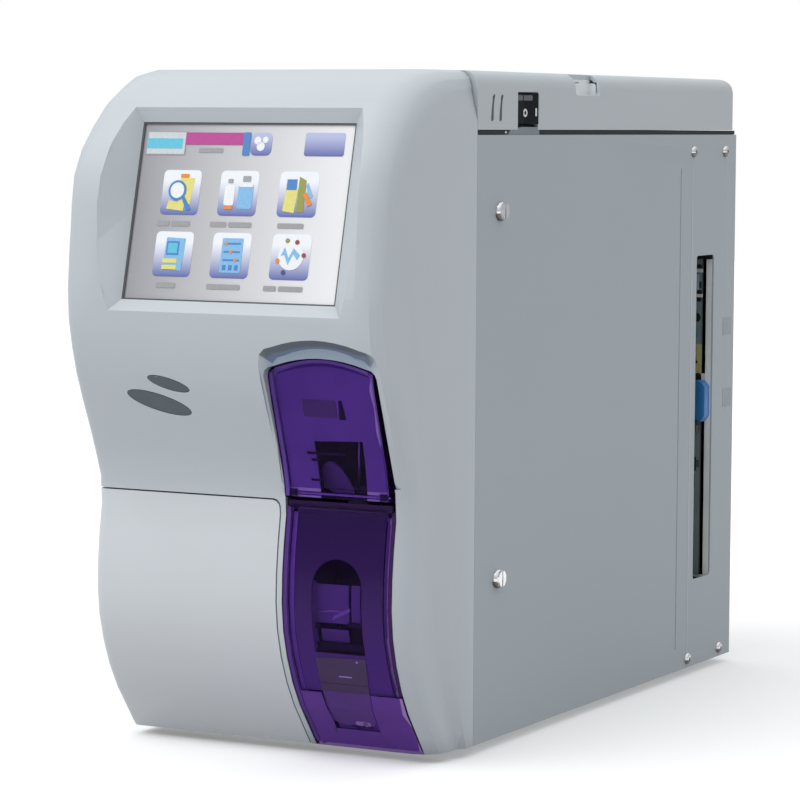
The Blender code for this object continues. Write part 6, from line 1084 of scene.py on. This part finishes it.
# finish, X from and to, Z from and to, and how far it stands out
BAY_ROWS = (
    ("bay_grey", 79, 85.3, 147, 246, 0.2),
    # painted shade: a dark plate in the gap between the board and the wall
    ("bay_shade", 85.3, 88, 56, 246, 0.2),
    ("bay_grey", 79, 85.3, 56, 147, 0.2),
    ("bay_white", 86, 91.4, 55, 245, 0.2),
    # painted shadow: a black strip under the slot's top edge
    ("black_plastic", 79.5, 92, 244, 246.7, 1.2),
    ("black_plastic", 82.2, 85.2, 238.5, 240.7, 0.6),
    ("white_plastic", 81.5, 85.8, 236.1, 238.1, 0.9),
    ("sky_strip", 81.2, 83.4, 225.4, 234.8, 0.5),
    ("black_plastic", 83.8, 85, 226.8, 230.6, 0.6),
    ("black_plastic", 82.4, 85.2, 223.2, 225.6, 0.6),
    ("white_plastic", 81.5, 85.8, 221.4, 223.2, 0.9),
    ("black_plastic", 82.2, 85, 218.8, 221.1, 0.6),
    ("teal_bit", 81.2, 83, 197.5, 204.5, 0.5),
    ("relay_yellow", 81.2, 85.6, 175, 193.5, 0.5),
    ("brass", 80.8, 82.8, 189.5, 191.2, 0.9),
    ("brass", 80.8, 82.8, 183.8, 185.6, 0.9),
    ("black_plastic", 81.8, 83.2, 182.2, 183.6, 0.9),
    ("white_plastic", 85.8, 87.8, 172, 176.2, 0.9),
    ("black_plastic", 79, 83, 118, 126.2, 0.6),
    ("black_plastic", 79, 82.2, 108, 116, 0.6),
    ("bay_shade", 82.2, 85, 120, 124.5, 0.5),
)
# plate space stood upright: its Y runs up and its Z to the front
STOOD_UP = Matrix(((1, 0, 0, 0), (0, 0, -1, 0), (0, 1, 0, 0), (0, 0, 0, 1)))
for name, colour in BAY_COLOURS.items():
    grained(name, colour, 0.5, 400.0, 0.06)
bay_finishes = sorted({row[0] for row in BAY_ROWS})
add_piece("bay_sockets", [
    (block, ((left_x + right_x) / 2, BAY_Y - proud / 2, (low_z + high_z) / 2),
     (right_x - left_x, proud, high_z - low_z), 0, bay_finishes.index(name))
    for name, left_x, right_x, low_z, high_z, proud in BAY_ROWS
], bay_finishes, "chassis")
add_piece("bay_round_sockets", [
    (disc, (x, z, -BAY_Y + 0.4), radius, 0.6, 0, 20)
    for x, z, radius in ((82.3, 209.3, 2.6), (83.6, 174.2, 2.2))
], ["black_plastic"], "chassis", STOOD_UP)
print(len(BAY_ROWS), "bay parts")

# %% [markdown]
# ## Blue connector
# A blue serial plug hood sits in the bay. Its free end is slanted, and its
# cable leaves downwards in black. It stands in for the plain CAD block.

# %% Blue connector
HOOD_BACK = 173.2
HOOD_THICK = 7.5
HOOD = [(82.5, 149.5), (85.2, 149.5), (88.5, 147.8), (91.2, 151.2),
        (91.2, 169), (89, 171.4), (85.8, 172.4), (82.5, 172.4)]
in_bay = Matrix.Translation(metres((0, HOOD_BACK + HOOD_THICK, 0))) @ STOOD_UP
hood_piece = add_piece("serial_hood", [(outline, HOOD, 0, HOOD_THICK), (round_edges, 0.5, 2)],
                       ["blue_plastic"], "chassis", in_bay, smooth=True)
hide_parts("serial_connector")
add_piece("serial_shell", [
    (block, (80.8, 174.5, 160), (3.2, 7, 25), 0.6),
    *[(block, (82, 171.2, low), (2.6, 2, 2.2))
      for low in (150.5, 156, 161.5)],
    (block, (82.2, 175, 144.8), (5, 6, 7.2), 1.2),
    (block, (85.5, 175, 144), (2, 6, 4), 0.6),
], ["black_plastic"], "chassis")
print("blue connector hood", len(hood_piece.data.polygons), "faces")

# %% [markdown]
# ## Blank plates by the slot
# Two plain grey plates are stuck on the panel behind the slot. They carry no
# words and only cover the paint.

# %% Blank plates
add_piece("blank_plates", [
    (block, (92.59, 203.4, 203.4), (0.12, 13.4, 10.6)),
    (block, (92.59, 204.5, 160.7), (0.12, 13.4, 10.8)),
], ["label_grey"], "chassis")
print("two blank plates")

# %% [markdown]
# ## Plates that follow the front
# What lies behind the violet covers follows the same curve as the front. Each
# piece is laid out flat, cut into rows and bent on to that curve, a little
# behind the cover. The curve is the front's own side view, as depth by height.

# %% Bending on to the front
FRONT_HEIGHTS = (5, 17.5, 28, 41, 54, 68, 83, 98, 112, 127,
                 132, 140, 145, 155, 165, 173, 185, 194, 205, 217)
FRONT_DEPTHS = (-166.55, -175.53, -184.45, -191.8, -197.43, -201.39, -202.96,
                -202.52, -201, -198.69, -199.15, -199.75, -201.42, -204.97,
                -209.37, -212.96, -218.01, -221.95, -225.11, -227.96)
WAIST_HEIGHT = 127
COVER_HINGE_HEIGHT = 138.5
COVER_LEAN = math.radians(6)
BEND_ROW = 4


def front_depth(height):
    """Y of the front surface at one height."""
    return float(np.interp(height, FRONT_HEIGHTS, FRONT_DEPTHS))


def bend_on_front(sketch, depth, lean=0.0):
    """Cut a flat layout into rows and bend it on to the front, a depth behind it."""
    heights = [point.co.y / MM for point in sketch.verts]
    row = math.floor(min(heights) / BEND_ROW) + 1
    while row * BEND_ROW < max(heights):
        bmesh.ops.bisect_plane(
            sketch, geom=sketch.verts[:] + sketch.edges[:] + sketch.faces[:], dist=1e-7,
            plane_co=(0, row * BEND_ROW * MM, 0), plane_no=(0, 1, 0))
        row += 1
    for point in sketch.verts:
        x, height, out = point.co
        back = max(height / MM - COVER_HINGE_HEIGHT, 0) * math.tan(lean)
        point.co = (x, (front_depth(height / MM) + depth + back) * MM - out, height)


print("front depth at the waist", front_depth(WAIST_HEIGHT))

# %% [markdown]
# ## Inside the probe cover
# Behind the upper cover is a pale shield with an opening for the needle's arm.
# Through the violet plastic the shield looks bright and the opening dark. Bars
# cross the opening, a lever hangs in it, and a dull patch lies higher up.

# %% Probe cover shield
SHIELD_LEFT, SHIELD_RIGHT, SHIELD_SHOULDER = 22.7, 76.8, 198.8
RIM_LEFT, RIM_RIGHT, RIM_SHOULDER = 20.5, 77.5, 200.8
RIM_FOOT = 136.8
CROWN_LEFT, CROWN_RIGHT = RIM_LEFT + 3, 76
CROWN_RISE = 5
CROWN_ROWS = 10


def crown_arch(left_x, right_x, shoulder):
    """The cover's arched top, from right to left."""
    return [(right_x + (left_x - right_x) * k / CROWN_ROWS,
             shoulder + CROWN_RISE * math.sin(math.pi * k / CROWN_ROWS))
            for k in range(CROWN_ROWS + 1)]


shield_crown = crown_arch(SHIELD_LEFT, SHIELD_RIGHT, SHIELD_SHOULDER)
add_piece("cover_shield", [
    (outline, [(SHIELD_LEFT, 136.5), (39.2, 136.5), (39.2, 165.5), (66.8, 166.5),
               (65.5, 136.5), (SHIELD_RIGHT, 136.5), *shield_crown], 0, 0.4),
    (outline, [(RIM_LEFT, RIM_FOOT), (SHIELD_LEFT, RIM_FOOT), (SHIELD_LEFT, SHIELD_SHOULDER),
               *shield_crown[::-1], (SHIELD_RIGHT, RIM_FOOT), (RIM_RIGHT, RIM_FOOT),
               *crown_arch(RIM_LEFT, RIM_RIGHT, RIM_SHOULDER)], -0.2, 0.4, 1),
    (strip, 20.1, 22, RIM_FOOT, 200, -6, 8, 1),
    (outline, [*crown_arch(CROWN_LEFT, CROWN_RIGHT, 202.2),
               *crown_arch(CROWN_LEFT, CROWN_RIGHT, RIM_SHOULDER)[::-1]], -6, 8, 1),
    (bend_on_front, 2, COVER_LEAN),
], ["shield_plastic", "cover_skirt"], "probe_cover", smooth=True)

add_piece("cover_bars", [
    (block, (45.5, 182.5, 0.1), (18.7, 8.8, 0.2), 0.4, 0),
    (outline, [(56.7, 186.9), (58.6, 186.9), (59.6, 177.3), (55.8, 177.2)], 0, 0.2, 1),
    (block, (45, 159.4, 0.1), (21.7, 1.4, 0.2), 0.3, 1),
    (block, (38.3, 155.9, 0.1), (4.2, 1.5, 0.2), 0.4, 1),
    (block, (38, 145.6, 0.1), (6.7, 1.2, 0.2), 0.3, 1),
    (bend_on_front, 1.6, COVER_LEAN),
], ["patch_dull", "black_plastic"], "probe_cover")

add_piece("arm_lever", [
    (outline, [(37.2, 140.5), (36.6, 150), (38.5, 153.5), (42, 155),
               (45.5, 153.8), (49, 150.5), (52, 145.5), (54.5, 140),
               (55, 136.8), (45.2, 136.8), (42, 139)], 0, 2.2),
    (round_edges, 0.9, 3),
    (bend_on_front, 10.5, COVER_LEAN),
], ["dim_backing"], "chassis", smooth=True)
print("probe cover shield, bars and lever")

# %% [markdown]
# ## Inside the tube door
# Strips line the door's sides and foot, round the tray. The left strip is pale;
# the right-hand strip and skirt are darker copies, painted shade, and the left
# skirt a lighter one, painted light. In the tray's window stand the clear tube
# guide, with pale streaks painted on as highlights, and two black clips, and
# below it the tube holder shows as a duller panel with small pale plates painted
# as highlights.

# %% Tube door linings
add_piece("door_linings", [
    (strip, 22.6, 25, 36.6, 128.5, 0, 0.3, 0),
    (strip, 76.2, 78.4, 37.2, 128.5, 0, 0.3, 1),
    (strip, 20.3, 22.6, 6.4, 131.4, 0, 0.3, 2),
    (strip, 78.4, 80.7, 6.4, 131.4, 0, 0.3, 3),
    (strip, 20.1, 22.2, 8, 131.2, -6, 8.8, 5),
    (strip, 25, 76.2, 126.2, 131.2, 0, 0.3, 4),
    (bend_on_front, 3.3),
], ["pale_and_highlight", "shaded_lining", "lit_skirt", "shaded_skirt", "top_lining", "skirt_edge"],
    "sample_door", smooth=True)

add_piece("door_foot_lining", [
    (outline, [(20.4, 6.6), (34.5, 6.6), (35.2, 20), (34.3, 36.4), (20.4, 36.4)], 0, 0.3),
    (outline, [(34.5, 6.6), (60, 6.6), (60.4, 15.8), (34.2, 15.8)], 0, 0.3),
    (outline, [(60, 6.6), (80.6, 6.6), (80.6, 37), (62.8, 37), (61, 21.5)], 0, 0.3),
    (bend_on_front, 1.4),
], ["foot_violet"], "sample_door", smooth=True)

add_piece("door_lip", [
    (strip, 21.2, 79.8, 131.2, 134.7, 0, 1.8),
    (bend_on_front, 2.3),
], ["violet_lip"], "sample_door")

add_piece("tube_holder_panel", [
    (outline, [(34.7, 37.5), (35.2, 55.5), (64, 56.5), (61.9, 37.5)], 0, 0.12, 0),
    (outline, [(34.5, 20), (34.7, 37.4), (61.9, 37.4), (60, 21.5),
               (56, 17.2), (48, 16.5)], 0, 0.12, 3),
    # painted highlights: small pale plates for points of light on the holder
    (disc, (58.7, 54.5, 0.1), 0.6, 0.1, 1, 12),
    (block, (50.3, 46, 0.15), (7.5, 0.7, 0.1), 0.3, 1),
    (disc, (53, 19.7, 0.1), 1.6, 0.1, 1, 16),
    (block, (51.6, 19.7, 0.15), (8.5, 2.4, 0.1), 1, 1),
    (block, (68.5, 25.6, 0.1), (8.8, 0.6, 0.1), 0, 2),
    (block, (32.5, 25.4, 0.1), (4, 0.6, 0.1), 0, 2),
    (bend_on_front, 2.35),
], ["holder_dull", "pale_and_highlight", "black_plastic", "holder_foot"], "sample_door")

add_piece("tube_guide", [
    (block, (43.7, 83, 0.4), (20, 19.6, 0.8), 1, 0),
    (block, (57.5, 83.5, 0.2), (5, 19, 0.4), 0.6, 1),
    # painted highlights: two slanted pale streaks on the clear guide
    (outline, [(44, 74.8), (45.2, 77), (54.5, 81.5), (54.5, 79.6)], 0.8, 0.2, 2),
    (outline, [(35, 78.2), (44, 80), (53, 79), (44, 79)], 0.8, 0.2, 2),
    (block, (45.2, 66.8, 0.4), (15.6, 6.4, 0.4), 0.4, 1),
    *[(block, (rail_x, 76.5, 2.4), (2.5, 35, 4.8), 0.3, 1)
      for rail_x in (33.85, 65.15)],
    (bend_on_front, 8.5),
], ["dull_backing", "dim_backing", "pale_and_highlight"], "sample_door")

add_piece("tube_clips", [
    (block, (35.2, 71.6, 0.3), (5.8, 2.6, 0.6), 0.3),
    (block, (59.4, 73.2, 0.3), (11, 2.6, 0.6), 0.3),
    (block, (46.8, 61.2, 0.3), (29, 4.2, 0.6), 0.4),
    (bend_on_front, 6.6),
], ["black_plastic"], "sample_door")
print("tube door linings, holder, guide and clips")
